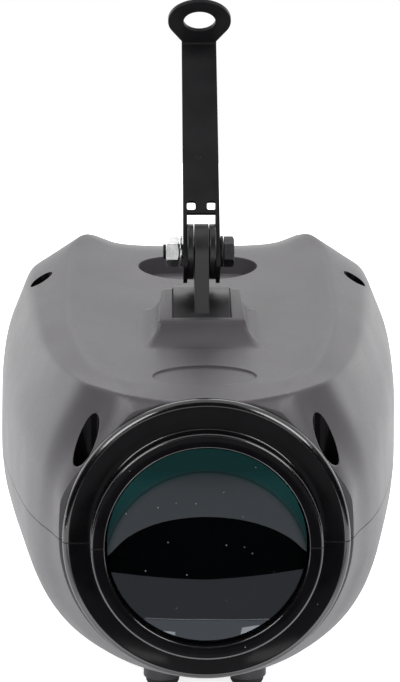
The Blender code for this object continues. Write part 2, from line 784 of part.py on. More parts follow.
def add_lower_shell(parent):
    shell = add_shell_half("lower_shell", False, parent)

    def inner_floor(x, depth):
        return lower_height(x, max(depth, BODY_START)) + WALL_BITE

    inside = bmesh.new()
    for _, x, depth in wells():
        rings = add_rod(inside, BOSS_RADIUS, -1.0, -SEAM_GAP / 2, "Z", (x, depth, 0.0), COARSE)
        for ring in rings[:2]:
            move_ring(ring, inner_floor)
    for x, depth in board_posts():
        rings = add_rod(inside, POST_RADIUS, -1.0, POWER_BOARD_HEIGHT - GAP, "Z", (x, depth, 0.0), COARSE)
        for ring in rings[:2]:
            move_ring(ring, inner_floor)
    for _, x, depth in feet():
        bottom = FOOT_HEIGHT - AXIS_HEIGHT
        rings = add_rod(inside, FOOT_RADIUS + PAD_MARGIN, bottom, 1.0, "Z", (x, depth, 0.0), MEDIUM)
        for ring in rings[-2:]:
            move_ring(ring, inner_floor)
    panel_bosses(inside, False)
    join(shell, inside)

    holes = bmesh.new()
    hole = SCREW_RADIUS + GAP
    for _, x, depth in wells():
        bottom = WELL_FLOOR - HOUSING_SCREW_LENGTH - 2 * GAP
        add_rod(holes, hole, bottom, 0.01, "Z", (x, depth, 0.0), COARSE)
    for x, depth in board_posts():
        low = POWER_BOARD_HEIGHT - BOARD_SCREW_LENGTH
        add_rod(holes, hole, low, POWER_BOARD_HEIGHT + 0.01, "Z", (x, depth, 0.0), COARSE)
    for _, x, depth in feet():
        low = -2 * AXIS_HEIGHT
        high = FOOT_HEIGHT + FOOT_STEM_LENGTH + GAP - AXIS_HEIGHT
        add_rod(holes, FOOT_STEM_RADIUS + GAP, low, high, "Z", (x, depth, 0.0), COARSE)
    panel_boss_holes(holes, False)
    cut(shell, holes)
    merge_flats(shell)
    return shell


# Fasteners


def add_screw(name, parent, head_seat, axis, centre, length, head_side=1, key="steel_black"):
    """A pan head screw. The head stands on its seat and the shank runs the other way."""
    bm = bmesh.new()
    s = head_side
    profile = (
        (0.0, head_seat - s * length),
        (SCREW_RADIUS, head_seat - s * length),
        (SCREW_RADIUS, head_seat),
        (SCREW_HEAD_RADIUS, head_seat),
        (SCREW_HEAD_RADIUS * 0.8, head_seat + s * SCREW_HEAD_HEIGHT),
        (0.0, head_seat + s * SCREW_HEAD_HEIGHT),
    )
    add_lathe(bm, profile, axis, centre, 8)
    return add_object(name, bm, key, parent)


def add_housing_screws(parent):
    for place, x, depth in wells():
        centre = (x, depth, 0.0)
        add_screw(f"housing_screw_{place}", parent, WELL_FLOOR + GAP, "Z", centre, HOUSING_SCREW_LENGTH)


def add_feet(parent):
    bottom = -AXIS_HEIGHT
    seat = bottom + FOOT_HEIGHT - GAP
    profile = (
        (0.0, bottom),
        (FOOT_RADIUS - 0.0010, bottom),
        (FOOT_RADIUS - 0.0004, bottom + 0.0005),
        (FOOT_RADIUS, seat),
        (FOOT_STEM_RADIUS, seat),
        (FOOT_STEM_RADIUS, seat + FOOT_STEM_LENGTH),
        (0.0, seat + FOOT_STEM_LENGTH),
    )
    for place, x, depth in feet():
        bm = bmesh.new()
        add_lathe(bm, profile, "Z", (x, depth, 0.0), MEDIUM)
        add_object(f"foot_{place}", bm, "rubber", parent)


# Lens and optics


def lens_rim():
    """Front and rear depth of the lens edge, in the middle of the groove."""
    middle = (GROOVE_FRONT + GROOVE_REAR) / 2
    return middle - LENS_EDGE / 2, middle + LENS_EDGE / 2


def add_lens(parent):
    front, rear = lens_rim()
    radius = COLLAR_BORE + GROOVE_DEPTH - 2 * GAP - GASKET_WALL
    clear = COLLAR_BORE - GASKET_WALL
    profile = [(0.0, front - LENS_FRONT_RISE)]
    steps = 4
    for k in range(1, steps + 1):
        share = k / steps
        profile.append((clear * share, front - LENS_FRONT_RISE * (1 - share**2)))
    profile += [(radius, front), (radius, rear)]
    for k in range(steps):
        share = 1 - k / steps
        profile.append((clear * share, rear + LENS_REAR_RISE * (1 - share**2)))
    profile.append((0.0, rear + LENS_REAR_RISE))
    bm = bmesh.new()
    add_lathe(bm, profile, "Y", segments=FINE)
    return add_object("front_lens", bm, "glass", parent)


def add_gasket(parent):
    front, rear = lens_rim()
    outer = COLLAR_BORE + GROOVE_DEPTH - GAP
    slot = outer - GASKET_WALL
    lip = COLLAR_BORE + GAP
    profile = (
        (outer, GROOVE_FRONT + GAP),
        (outer, GROOVE_REAR - GAP),
        (lip, GROOVE_REAR - GAP),
        (lip, rear + GAP),
        (slot, rear + GAP),
        (slot, front - GAP),
        (lip, front - GAP),
        (lip, GROOVE_FRONT + GAP),
    )
    bm = bmesh.new()
    add_lathe(bm, profile, "Y", segments=FINE)
    return add_object("lens_gasket", bm, "rubber", parent)


def carrier_front():
    return LED_BOARD_FRONT + LED_BOARD_THICKNESS + GAP


def add_light_tube(parent):
    bm = bmesh.new()
    low, high = FRONT_WALL_REAR + GAP, LED_BOARD_FRONT - GAP
    add_tube(bm, TUBE_RADIUS, TUBE_RADIUS - TUBE_WALL, low, high, segments=FINE)
    return add_object("light_tube", bm, "black_plastic", parent)


def bulkhead_outline(depth, offset, stride=1):
    """The full inside section of the housing, both halves, moved inwards."""
    upper = section(depth, True, offset)
    lower = section(depth, False, offset)
    points = [(p.x, p.y) for p in upper[::stride]]
    points += [(p.x, p.y) for p in reversed(lower[1:-1:2])]
    return points


def add_optic_carrier(parent):
    front = carrier_front()
    rear = front + CARRIER_THICKNESS
    narrow = min(section(front, True, 0.0)[0].x, section(rear, True, 0.0)[0].x)
    slack = section(rear, True, 0.0)[0].x - narrow
    bm = bmesh.new()
    add_prism(bm, bulkhead_outline(front, WALL + 2 * GAP + slack), front, rear, "Y")
    carrier = add_object("optic_carrier", bm, "black_plastic", parent)
    window = bmesh.new()
    half = LED_BOARD_HALF - 0.006
    outline = rounded_rectangle((2 * half, 2 * half), 0.002)
    add_prism(window, outline, front - 0.01, rear + 0.01, "Y")
    for x, z in sink_screws():
        centre = (x, 0.0, z)
        add_rod(window, SCREW_RADIUS + GAP, front - 0.01, rear + 0.01, "Y", centre, COARSE)
    cut(carrier, window)
    merge_flats(carrier)
    return carrier


def sink_screws():
    spot = LED_BOARD_HALF - 0.0035
    return ((-spot, 0.0), (spot, 0.0))


def add_led_board(parent):
    bm = bmesh.new()
    cut_corner = 0.0115
    half = LED_BOARD_HALF
    inner = half - cut_corner
    outline = (
        (inner, half), (-inner, half), (-half, inner), (-half, -inner),
        (-inner, -half), (inner, -half), (half, -inner), (half, inner),
    )
    add_prism(bm, outline, LED_BOARD_FRONT, LED_BOARD_FRONT + LED_BOARD_THICKNESS, "Y")
    board = add_object("led_board", bm, "board", parent)
    holes = bmesh.new()
    for x, z in sink_screws():
        add_rod(holes, SCREW_RADIUS + GAP, 0.03, 0.09, "Y", (x, 0.0, z), COARSE)
    cut(board, holes)
    merge_flats(board)
    return board


def add_led_array(parent):
    """The emitters in rows and columns, each a small tapered block, moulded on one carrier film."""
    rear = LED_BOARD_FRONT - GAP
    film_front = rear - LED_BASE
    half = (LED_COUNT - 1) / 2
    edge = half * LED_PITCH + LED_RADIUS + 0.0008
    bm = bmesh.new()

    def line(k):
        if k == 0:
            return -edge
        return edge if k == LED_COUNT else (k - half - 0.5) * LED_PITCH

    corners = {}
    for i in range(LED_COUNT + 1):
        for k in range(LED_COUNT + 1):
            corners[i, k] = bm.verts.new((line(i), film_front, line(k)))
    turns = ((-1, -1), (1, -1), (1, 1), (-1, 1))
    for i in range(LED_COUNT):
        for k in range(LED_COUNT):
            x, z = (i - half) * LED_PITCH, (k - half) * LED_PITCH
            rings = [[corners[i, k], corners[i + 1, k], corners[i + 1, k + 1], corners[i, k + 1]]]
            for reach, rise in ((LED_RADIUS, 0.0), (LED_RADIUS * 0.8, LED_HEIGHT)):
                level = film_front - rise
                rings.append([bm.verts.new((x + sx * reach, level, z + sz * reach)) for sx, sz in turns])
            for low, high in zip(rings, rings[1:]):
                for n in range(4):
                    m = (n + 1) % 4
                    bm.faces.new((low[n], low[m], high[m], high[n]))
            bm.faces.new(rings[-1])
    back = [bm.verts.new((sx * edge, rear, sz * edge)) for sx, sz in turns]
    bm.faces.new(back)
    last = LED_COUNT
    rims = (
        [corners[i, 0] for i in range(last + 1)],
        [corners[last, k] for k in range(last + 1)],
        [corners[last - i, last] for i in range(last + 1)],
        [corners[0, last - k] for k in range(last + 1)],
    )
    for n, rim in enumerate(rims):
        bm.faces.new(rim + [back[(n + 1) % 4], back[n]])
    outward(bm, bm.faces[:])
    return add_object("led_array", bm, "led", parent, 50)


def add_heat_sink(parent):
    """An extruded sink: one comb profile with upright fins, pushed along its height."""
    low = carrier_front() + CARRIER_THICKNESS + GAP
    root = low + SINK_BASE
    tip = root + SINK_FIN_LENGTH
    pitch = (2 * SINK_HALF - SINK_FIN_THICKNESS) / (SINK_FIN_COUNT - 1)
    outline = [(-SINK_HALF, low), (SINK_HALF, low)]
    for k in reversed(range(SINK_FIN_COUNT)):
        left = -SINK_HALF + k * pitch
        right = left + SINK_FIN_THICKNESS
        outline += [(right, root), (right, tip), (left, tip), (left, root)]
    outline = [p for i, p in enumerate(outline) if i not in (2, len(outline) - 1)]
    bm = bmesh.new()
    add_prism(bm, outline, -SINK_HALF, SINK_HALF, "Z")
    sink = add_object("heat_sink", bm, "aluminium", parent)
    holes = bmesh.new()
    for x, z in sink_screws():
        add_rod(holes, SCREW_RADIUS + GAP, low - 0.01, root - 0.0008, "Y", (x, 0.0, z), COARSE)
    cut(sink, holes)
    return sink


def add_sink_screws(parent):
    length = LED_BOARD_THICKNESS + 2 * GAP + CARRIER_THICKNESS + SINK_BASE - 0.0012
    for side, (x, z) in zip(("left", "right"), sink_screws()):
        centre = (x, 0.0, z)
        add_screw(f"sink_screw_{side}", parent, LED_BOARD_FRONT - GAP, "Y", centre, length, -1, "zinc")


# Boards inside the housing


def power_board_centre():
    return POWER_BOARD_FRONT + POWER_BOARD_SIZE[1] / 2


def add_power_board(parent):
    low, high = POWER_BOARD_HEIGHT, POWER_BOARD_HEIGHT + BOARD_THICKNESS
    centre = power_board_centre()
    bm = bmesh.new()
    add_prism(bm, rounded_rectangle(POWER_BOARD_SIZE, 0.002, (0.0, centre), 2), low, high)
    board = add_object("power_board", bm, "board", parent)
    holes = bmesh.new()
    for x, depth in board_posts():
        add_rod(holes, SCREW_RADIUS + GAP, low - 0.01, high + 0.01, "Z", (x, depth, 0.0), COARSE)
    cut(board, holes)
    merge_flats(board)

    top = high + GAP
    wide, deep, tall = TRANSFORMER_SIZE
    x, y = TRANSFORMER_SPOT[0], POWER_BOARD_FRONT + TRANSFORMER_SPOT[1]
    bm = bmesh.new()
    add_box(bm, (x - wide / 2, y - deep / 2, top), (x + wide / 2, y + deep / 2, top + tall))
    core = add_object("transformer", bm, "copper", parent)
    waist = bmesh.new()
    for side in (-1, 1):
        for level in (-1, 1):
            cx, cz = x + side * wide / 2, top + tall / 2 + level * tall / 2
            add_box(waist, (cx - 0.004, y - deep, cz - 0.004), (cx + 0.004, y + deep, cz + 0.004))
    cut(core, waist)

    x, y = CAPACITOR_SPOT[0], POWER_BOARD_FRONT + CAPACITOR_SPOT[1]
    bm = bmesh.new()
    profile = (
        (0.0, top),
        (CAPACITOR_RADIUS, top),
        (CAPACITOR_RADIUS, top + 0.0015),
        (CAPACITOR_RADIUS - 0.0006, top + 0.0022),
        (CAPACITOR_RADIUS, top + 0.0030),
        (CAPACITOR_RADIUS, top + CAPACITOR_LENGTH - 0.0006),
        (CAPACITOR_RADIUS - 0.0006, top + CAPACITOR_LENGTH),
        (0.0, top + CAPACITOR_LENGTH),
    )
    add_lathe(bm, profile, "Z", (x, y, 0.0), MEDIUM)
    add_object("mains_capacitor", bm, "capacitor", parent)

    x, y = HEAT_TAB_SPOT[0], POWER_BOARD_FRONT + HEAT_TAB_SPOT[1]
    wide, deep, tall = HEAT_TAB_SIZE
    bm = bmesh.new()
    outline = (
        (y - deep / 2, top), (y + HEAT_TAB_FOOT, top), (y + HEAT_TAB_FOOT, top + deep),
        (y + deep / 2, top + deep), (y + deep / 2, top + tall), (y - deep / 2, top + tall),
    )
    add_prism(bm, outline, x - wide / 2, x + wide / 2, "X")
    add_object("rectifier_heat_tab", bm, "aluminium", parent)


def add_power_board_screws(parent):
    seat = POWER_BOARD_HEIGHT + BOARD_THICKNESS + GAP
    for place, (x, depth) in zip(("a", "b", "c", "d"), board_posts()):
        add_screw(f"power_screw_{place}", parent, seat, "Z", (x, depth, 0.0), BOARD_SCREW_LENGTH, 1, "zinc")


# Rear panel and controls


def panel_faces():
    """Inner and outer depth of the rear panel."""
    outer = BODY_LENGTH - PANEL_RECESS
    return outer - PANEL_THICKNESS + GAP, outer


def control_board_rear():
    return panel_faces()[0] - CONTROL_POST_LENGTH


def control_posts():
    wide, tall = CONTROL_BOARD_SIZE
    x, z = CONTROL_BOARD_SPOT
    half_x = wide / 2 - POST_INSET
    return ((x - half_x, z - tall / 2 + POST_INSET), (x + half_x, z - tall / 2 + POST_INSET))


def add_rear_panel(parent):
    inner, outer = panel_faces()
    depth = BODY_LENGTH
    bm = bmesh.new()
    add_prism(bm, bulkhead_outline(depth, WALL + 2 * GAP), inner, outer, "Y")
    panel = add_object("rear_panel", bm, "black_plastic", parent)

    posts = bmesh.new()
    for x, z in control_posts():
        add_rod(posts, POST_RADIUS, control_board_rear() + GAP, inner + 0.001, "Y", (x, 0.0, z), COARSE)
    join(panel, posts)

    holes = bmesh.new()
    low, high = inner - 0.005, outer + 0.005
    for _, x, z in panel_screws():
        add_rod(holes, SCREW_RADIUS + GAP, low, high, "Y", (x, 0.0, z), COARSE)
    body = (INLET_BODY[0] + 2 * GAP, INLET_BODY[1] + 2 * GAP)
    add_prism(holes, rounded_rectangle(body, 0.002, INLET_SPOT), low, high, "Y")
    body = (SWITCH_BODY[0] + 2 * GAP, SWITCH_BODY[1] + 2 * GAP)
    add_prism(holes, rounded_rectangle(body, 0.001, SWITCH_SPOT), low, high, "Y")
    add_rod(holes, bushing_radius() + GAP, low, high, "Y", (KNOB_SPOT[0], 0.0, KNOB_SPOT[1]), MEDIUM)
    add_rod(holes, MIC_HOLE_RADIUS, low, high, "Y", (MIC_SPOT[0], 0.0, MIC_SPOT[1]), COARSE)
    for k in range(VENT_COUNT):
        centre = (VENT_SPOT[0], VENT_SPOT[1] + (k - (VENT_COUNT - 1) / 2) * VENT_PITCH)
        add_prism(holes, rounded_rectangle(VENT_SIZE, VENT_SIZE[1] / 2 - 0.0001, centre, 1), low, high, "Y")
    cut(panel, holes)

    bores = bmesh.new()
    for x, z in control_posts():
        low = control_board_rear() - 0.001
        add_rod(bores, SCREW_RADIUS + GAP, low, inner - WALL, "Y", (x, 0.0, z), COARSE)
    cut(panel, bores)
    merge_flats(panel)
    return panel


def add_panel_screws(parent):
    seat = panel_faces()[1] + GAP
    for place, x, z in panel_screws():
        add_screw(f"panel_screw_{place}", parent, seat, "Y", (x, 0.0, z), PANEL_THICKNESS + 0.006)


def bushing_radius():
    return POT_SHAFT_RADIUS + GAP + 0.0012


def add_control_board(parent):
    rear = control_board_rear()
    wide, tall = CONTROL_BOARD_SIZE
    bm = bmesh.new()
    outline = rounded_rectangle((wide, tall), 0.002, CONTROL_BOARD_SPOT, 2)
    add_prism(bm, outline, rear - BOARD_THICKNESS, rear, "Y")
    board = add_object("control_board", bm, "board", parent)
    holes = bmesh.new()
    for x, z in control_posts():
        add_rod(holes, SCREW_RADIUS + GAP, rear - 0.01, rear + 0.01, "Y", (x, 0.0, z), COARSE)
    cut(board, holes)
    merge_flats(board)
    for side, (x, z) in zip(("left", "right"), control_posts()):
        seat = rear - BOARD_THICKNESS - GAP
        length = BOARD_THICKNESS + 0.0055
        add_screw(f"board_screw_{side}", parent, seat, "Y", (x, 0.0, z), length, -1, "zinc")

    bm = bmesh.new()
    x, z = MIC_SPOT
    add_rod(bm, MIC_RADIUS, rear + GAP, panel_faces()[0] - 0.0008, "Y", (x, 0.0, z), MEDIUM)
    add_object("microphone", bm, "aluminium", parent)


def add_sensitivity_pot(parent):
    outer = panel_faces()[1]
    rear = control_board_rear()
    x, z = KNOB_SPOT
    bm = bmesh.new()
    half = POT_SIZE / 2
    add_box(bm, (x - half, rear + GAP, z - half), (x + half, rear + GAP + POT_DEPTH, z + half))
    pot = add_object("sensitivity_pot", bm, "aluminium", parent)
    neck = bmesh.new()
    add_rod(neck, bushing_radius(), rear + GAP + POT_DEPTH / 2, outer + GAP, "Y", (x, 0.0, z), MEDIUM)
    join(pot, neck)
    bore = bmesh.new()
    low = rear + GAP + POT_DEPTH / 2
    add_rod(bore, POT_SHAFT_RADIUS + GAP, low, outer + 0.01, "Y", (x, 0.0, z), MEDIUM)
    cut(pot, bore)
    merge_flats(pot)
    return pot


def add_knob(parent):
    """The knob and its shaft, which turn together about the shaft's axis."""
    outer = panel_faces()[1]
    x, z = KNOB_SPOT
    pivot = bpy.data.objects.new("knob_axis", None)
    bpy.context.scene.collection.objects.link(pivot)
    pivot.parent = parent
    pivot.location = (x, outer, z)
    low = 2 * GAP + 0.0004
    high = low + KNOB_LENGTH
    bore_end = high - 0.0018
    ribs = 12
    low_rib = KNOB_RADIUS - 0.0005
    rib = ((0.0, KNOB_RADIUS), (0.5, KNOB_RADIUS), (0.62, low_rib), (0.88, low_rib))
    bm = bmesh.new()
    outline = []
    for k in range(ribs):
        for share, radius in rib:
            angle = FULL_TURN * (k + share) / ribs
            outline.append((radius * math.cos(angle), radius * math.sin(angle)))
    add_prism(bm, outline, low, high, "Y")
    knob = add_object("sensitivity_knob", bm, "black_plastic", pivot)
    bore = bmesh.new()
    add_rod(bore, POT_SHAFT_RADIUS + GAP, low - 0.01, bore_end, "Y", segments=MEDIUM)
    add_box(bore, (-0.0004, high - 0.0006, 0.0015), (0.0004, high + 0.01, KNOB_RADIUS - 0.0012))
    cut(knob, bore)
    merge_flats(knob)
    bm = bmesh.new()
    start = control_board_rear() + GAP + POT_DEPTH / 2 + GAP - outer
    add_rod(bm, POT_SHAFT_RADIUS, start, bore_end - GAP, "Y", segments=MEDIUM)
    add_object("pot_shaft", bm, "aluminium", pivot)


def add_mains_inlet(parent):
    """A three pin appliance inlet: flange outside the panel, body through it, pins in its cavity."""
    outer = panel_faces()[1]
    x, z = INLET_SPOT
    face = outer + GAP + FLANGE_PLATE
    bm = bmesh.new()
    add_prism(bm, rounded_rectangle(INLET_FLANGE, 0.003, INLET_SPOT), outer + GAP, face, "Y")
    inlet = add_object("mains_inlet", bm, "black_plastic", parent)
    body = bmesh.new()
    add_prism(body, rounded_rectangle(INLET_BODY, 0.002, INLET_SPOT), face - INLET_LENGTH, outer + 0.001, "Y")
    join(inlet, body)
    cavity = bmesh.new()
    half_w, half_h, slant = INLET_CAVITY[0] / 2, INLET_CAVITY[1] / 2, 0.0045
    outline = (
        (x - half_w, z - half_h), (x + half_w, z - half_h), (x + half_w, z + half_h - slant),
        (x + half_w - slant, z + half_h), (x - half_w + slant, z + half_h), (x - half_w, z + half_h - slant),
    )
    add_prism(cavity, outline, face - INLET_CAVITY_DEPTH, face + 0.01, "Y")
    cut(inlet, cavity)
    pins = bmesh.new()
    wide, tall, long = INLET_PIN
    floor = face - INLET_CAVITY_DEPTH
    for px, pz in ((-INLET_PIN_SPREAD, -0.002), (INLET_PIN_SPREAD, -0.002), (0.0, 0.002)):
        low = (x + px - wide / 2, floor - 0.001, z + pz - tall / 2)
        add_box(pins, low, (x + px + wide / 2, floor + long, z + pz + tall / 2))
    join(inlet, pins)
    return inlet


def add_power_switch(parent):
    outer = panel_faces()[1]
    x, z = SWITCH_SPOT
    face = outer + GAP + FLANGE_PLATE
    bm = bmesh.new()
    add_prism(bm, rounded_rectangle(SWITCH_FLANGE, 0.0015, SWITCH_SPOT, 2), outer + GAP, face, "Y")
    bezel = add_object("power_switch_bezel", bm, "black_plastic", parent)
    body = bmesh.new()
    outline = rounded_rectangle(SWITCH_BODY, 0.001, SWITCH_SPOT, 2)
    add_prism(body, outline, face - SWITCH_LENGTH, outer + 0.001, "Y")
    join(bezel, body)
    pocket = bmesh.new()
    outline = rounded_rectangle(SWITCH_POCKET, 0.0005, SWITCH_SPOT, 2)
    add_prism(pocket, outline, face - SWITCH_POCKET_DEPTH, face + 0.01, "Y")
    cut(bezel, pocket)

    pivot = bpy.data.objects.new("rocker_axis", None)
    bpy.context.scene.collection.objects.link(pivot)
    pivot.parent = parent
    axis_depth = 0.0035
    pivot.location = (x, face - axis_depth, z)
    pivot.rotation_euler = (ROCKER_TILT, 0.0, 0.0)
    reach = SWITCH_POCKET[1] / 2 - 3 * GAP
    tip = 0.0042
    outline = (
        (-0.0030, -0.0040), (0.0006, -reach + 0.0002), (tip, -reach), (tip - 0.0018, 0.0),
        (tip, reach), (0.0006, reach - 0.0002), (-0.0030, 0.0040),
    )
    bm = bmesh.new()
    half = SWITCH_POCKET[0] / 2 - GAP
    add_prism(bm, outline, -half, half, "X")
    add_object("power_rocker", bm, "black_plastic", pivot)


# Hanger


def block_top(depth):
    """Height of the rounded top of the lug block."""
    front, rear = BLOCK_FRONT, BLOCK_REAR
    low = PEDESTAL_LIP[1] + BLOCK_RISE
    high = PEDESTAL_CREST[1] + BLOCK_RISE
    share = min(max((depth - front) / (rear - 0.003 - front), 0.0), 1.0)
    return low + (high - low) * math.sin(share * math.pi / 2)


def add_hinge_lug(parent):
    """The block in its pocket, its flange inside the shell and the upright lug, moulded as one."""
    bm = bmesh.new()
    steps = 8
    foot = PEDESTAL_UNDERSIDE - GAP
    outline = [(BLOCK_FRONT, foot - FLANGE_THICKNESS / 2)]
    for k in range(steps + 1):
        depth = BLOCK_FRONT + (BLOCK_REAR - BLOCK_FRONT) * k / steps
        outline.append((depth, block_top(depth)))
    outline.append((BLOCK_REAR, foot - FLANGE_THICKNESS / 2))
    add_prism(bm, outline, -BLOCK_HALF, BLOCK_HALF, "X")
    lug = add_object("hinge_lug", bm, "shell", parent)

    flange = bmesh.new()
    wide = LUG_SCREW_SPACING / 2 + FLANGE_MARGIN
    low = (-wide, BLOCK_FRONT - FLANGE_MARGIN, foot - FLANGE_THICKNESS)
    add_box(flange, low, (wide, BLOCK_REAR + FLANGE_MARGIN, foot))
    join(lug, flange)

    upright = bmesh.new()
    front_foot, rear_foot = BLOCK_FRONT + 0.0016, BLOCK_REAR - 0.0002
    outline = [(front_foot, PEDESTAL_LIP[1] - 0.004)]
    outline += arc((PIVOT_DEPTH, PIVOT_HEIGHT), LUG_EYE_RADIUS, 186, -6, 16)
    outline.append((rear_foot, PEDESTAL_LIP[1] - 0.004))
    add_prism(upright, outline, -LUG_THICKNESS / 2, LUG_THICKNESS / 2, "X")
    join(lug, upright)

    holes = bmesh.new()
    centre = (0.0, PIVOT_DEPTH, PIVOT_HEIGHT)
    add_rod(holes, BOLT_RADIUS + GAP, -0.02, 0.02, "X", centre, MEDIUM)
    for x, depth in lug_screws():
        add_rod(holes, SCREW_RADIUS + GAP, 0.03, foot + 0.001, "Z", (x, depth, 0.0), COARSE)
    cut(lug, holes)
    merge_flats(lug)

    seat = foot - FLANGE_THICKNESS - GAP
    for name, (x, depth) in zip(("left", "right"), lug_screws()):
        length = FLANGE_THICKNESS + GAP + 0.0085
        add_screw(f"lug_screw_{name}", parent, seat, "Z", (x, depth, 0.0), length, -1, "zinc")
    return lug


def bend_strap(bm):
    """Folds the flat strap forward over its bend line, keeping its length along the middle."""
    radius = STRAP_BEND_RADIUS + STRAP_THICKNESS / 2
    start = STRAP_BEND_HEIGHT - radius
    middle = -STRAP_SETBACK - STRAP_THICKNESS / 2
    arc_length = radius * math.pi / 2
    for vert in bm.verts:
        run = vert.co.z - start
        if run <= 0:
            continue
        off = vert.co.y - middle
        angle = min(run / arc_length, 1.0) * math.pi / 2
        past = max(run - arc_length, 0.0)
        centre = Vector((middle - radius, start))
        along = Vector((-math.sin(angle), math.cos(angle)))
        out = Vector((math.cos(angle), math.sin(angle)))
        place = centre + out * (radius + off) + along * past
        vert.co.y, vert.co.z = place.x, place.y


def strap_outline():
    """The flat strap, flaring past its bend to a round eye: half-width against length from the pivot."""
    radius = STRAP_BEND_RADIUS + STRAP_THICKNESS / 2
    start = STRAP_BEND_HEIGHT - radius
    flare = start + radius * math.pi / 2
    eye = flare + EYE_REACH - radius
    half = STRAP_WIDTH / 2
    reach = eye - flare
    turn = math.degrees(math.acos(EYE_RADIUS / math.hypot(half, reach)) - math.atan2(reach, half))
    right = [(half, FORK_BAR), (half, flare)]
    ring = arc((0.0, eye), EYE_RADIUS, turn, 180 - turn, 18)
    left = [(-x, z) for x, z in reversed(right)]
    return right + ring + left, start, flare - start


def add_hanger_strap(parent):
    """Sheet steel: a strap with a round eye, bent over at the top, and two ears folded back at its foot."""
    outline, start, length = strap_outline()
    front = -STRAP_SETBACK - STRAP_THICKNESS
    bm = bmesh.new()
    add_prism(bm, outline, front, front + STRAP_THICKNESS, "Y")
    steps = 5
    for k in range(steps + 1):
        level = start + length * k / steps
        geometry = bm.verts[:] + bm.edges[:] + bm.faces[:]
        bmesh.ops.bisect_plane(bm, geom=geometry, plane_co=(0, 0, level), plane_no=(0, 0, 1), dist=1e-7)
    bend_strap(bm)
    outward(bm, bm.faces[:])
    strap = add_object("hanger_strap", bm, "steel_black", parent)

    ears = bmesh.new()
    inner = STRAP_WIDTH / 2 - STRAP_THICKNESS
    corner = 0.0015
    outline = [(front, FORK_TOP + 0.004), (front, -EAR_DROP + corner)]
    outline += arc((front + corner, -EAR_DROP + corner), corner, 180, 270, 3)[1:]
    outline += arc((EAR_REAR - corner, -EAR_DROP + corner), corner, 270, 360, 3)
    outline += arc((EAR_REAR - 0.006, 0.006), 0.006, 0, 60, 4)
    outline += [(front + STRAP_THICKNESS, FORK_TOP + 0.004)]
    for side in (-1, 1):
        low, high = sorted((side * inner, side * STRAP_WIDTH / 2))
        add_prism(ears, outline, low, high, "X")
    join(strap, ears)

    holes = bmesh.new()
    add_rod(holes, BOLT_RADIUS + GAP, -0.02, 0.02, "X", segments=MEDIUM)
    middle = FORK_TOP - FORK_WINDOW / 2
    spread = LUG_THICKNESS / 2 + (inner - LUG_THICKNESS / 2) / 2 - 0.0002
    size = (inner - LUG_THICKNESS / 2 + 0.0006, FORK_WINDOW)
    for side in (-1, 1):
        window = rounded_rectangle(size, 0.0008, (side * spread, middle))
        add_prism(holes, window, front - 0.01, front + 0.0025, "Y")
    cut(strap, holes)

    top = STRAP_BEND_HEIGHT
    eye_y = -STRAP_SETBACK - STRAP_THICKNESS / 2 - EYE_REACH
    punch = bmesh.new()
    add_rod(punch, EYE_HOLE_RADIUS, top - 0.01, top + 0.01, "Z", (0.0, eye_y, 0.0), MEDIUM)
    cut(strap, punch)
    merge_flats(strap)
    return strap


def add_pivot_hardware(parent):
    """Bolt, nut, washers and friction discs, stacked along the pivot from the lug outwards."""
    lug_face = LUG_THICKNESS / 2
    ear_in, ear_out = STRAP_WIDTH / 2 - STRAP_THICKNESS, STRAP_WIDTH / 2
    washer_in = ear_out + GAP
    washer_out = washer_in + WASHER_THICKNESS
    bore = BOLT_RADIUS + GAP
    for side, name in ((-1, "left"), (1, "right")):
        low, high = sorted((side * (lug_face + GAP), side * (ear_in - GAP)))
        bm = bmesh.new()
        add_tube(bm, DISC_RADIUS, bore, low, high, "X", segments=MEDIUM)
        add_object(f"friction_disc_{name}", bm, "black_plastic", parent)
    for side, name, key in ((-1, "nut", "zinc"), (1, "head", "steel_black")):
        low, high = sorted((side * washer_in, side * washer_out))
        bm = bmesh.new()
        add_tube(bm, WASHER_RADIUS, bore, low, high, "X", segments=MEDIUM)
        add_object(f"pivot_washer_{name}", bm, key, parent)

    seat = washer_out + GAP
    hexagon = arc((0.0, 0.0), NUT_ACROSS_FLATS / 2 / math.cos(math.pi / 6), 0, 300, 5)
    bm = bmesh.new()
    add_prism(bm, hexagon, -seat - NUT_HEIGHT, -seat, "X")
    nut = add_object("pivot_nut", bm, "zinc", parent)
    hole = bmesh.new()
    add_rod(hole, bore, -0.05, 0.0, "X", segments=MEDIUM)
    cut(nut, hole)

    bm = bmesh.new()
    add_prism(bm, hexagon, seat, seat + BOLT_HEAD_HEIGHT, "X")
    bolt = add_object("pivot_bolt", bm, "steel_black", parent)
    shank = bmesh.new()
    add_rod(shank, BOLT_RADIUS, -seat - NUT_HEIGHT - BOLT_OVERHANG, seat + 0.001, "X", segments=MEDIUM)
    join(bolt, shank)


def build():
    clear_scene()
    frame = bpy.data.objects.new("light_frame", None)
    bpy.context.scene.collection.objects.link(frame)
    frame.location = (0.0, -BODY_LENGTH / 2, AXIS_HEIGHT)
    add_upper_shell(frame)
    add_lower_shell(frame)
    add_housing_screws(frame)
    add_feet(frame)
    add_lens(frame)
    add_gasket(frame)
    add_light_tube(frame)
    add_optic_carrier(frame)
    add_led_board(frame)
    add_led_array(frame)
    add_heat_sink(frame)
    add_sink_screws(frame)
    add_power_board(frame)
    add_power_board_screws(frame)
    add_rear_panel(frame)
    add_panel_screws(frame)
    add_control_board(frame)
    add_sensitivity_pot(frame)
    add_knob(frame)
    add_mains_inlet(frame)
    add_power_switch(frame)
    add_hinge_lug(frame)
    hanger = bpy.data.objects.new("hanger_axis", None)
    bpy.context.scene.collection.objects.link(hanger)
    hanger.parent = frame
    hanger.location = (0.0, PIVOT_DEPTH, PIVOT_HEIGHT)
    hanger.rotation_euler = (-STRAP_LEAN, 0.0, 0.0)
    add_hanger_strap(hanger)
    add_pivot_hardware(hanger)


build()
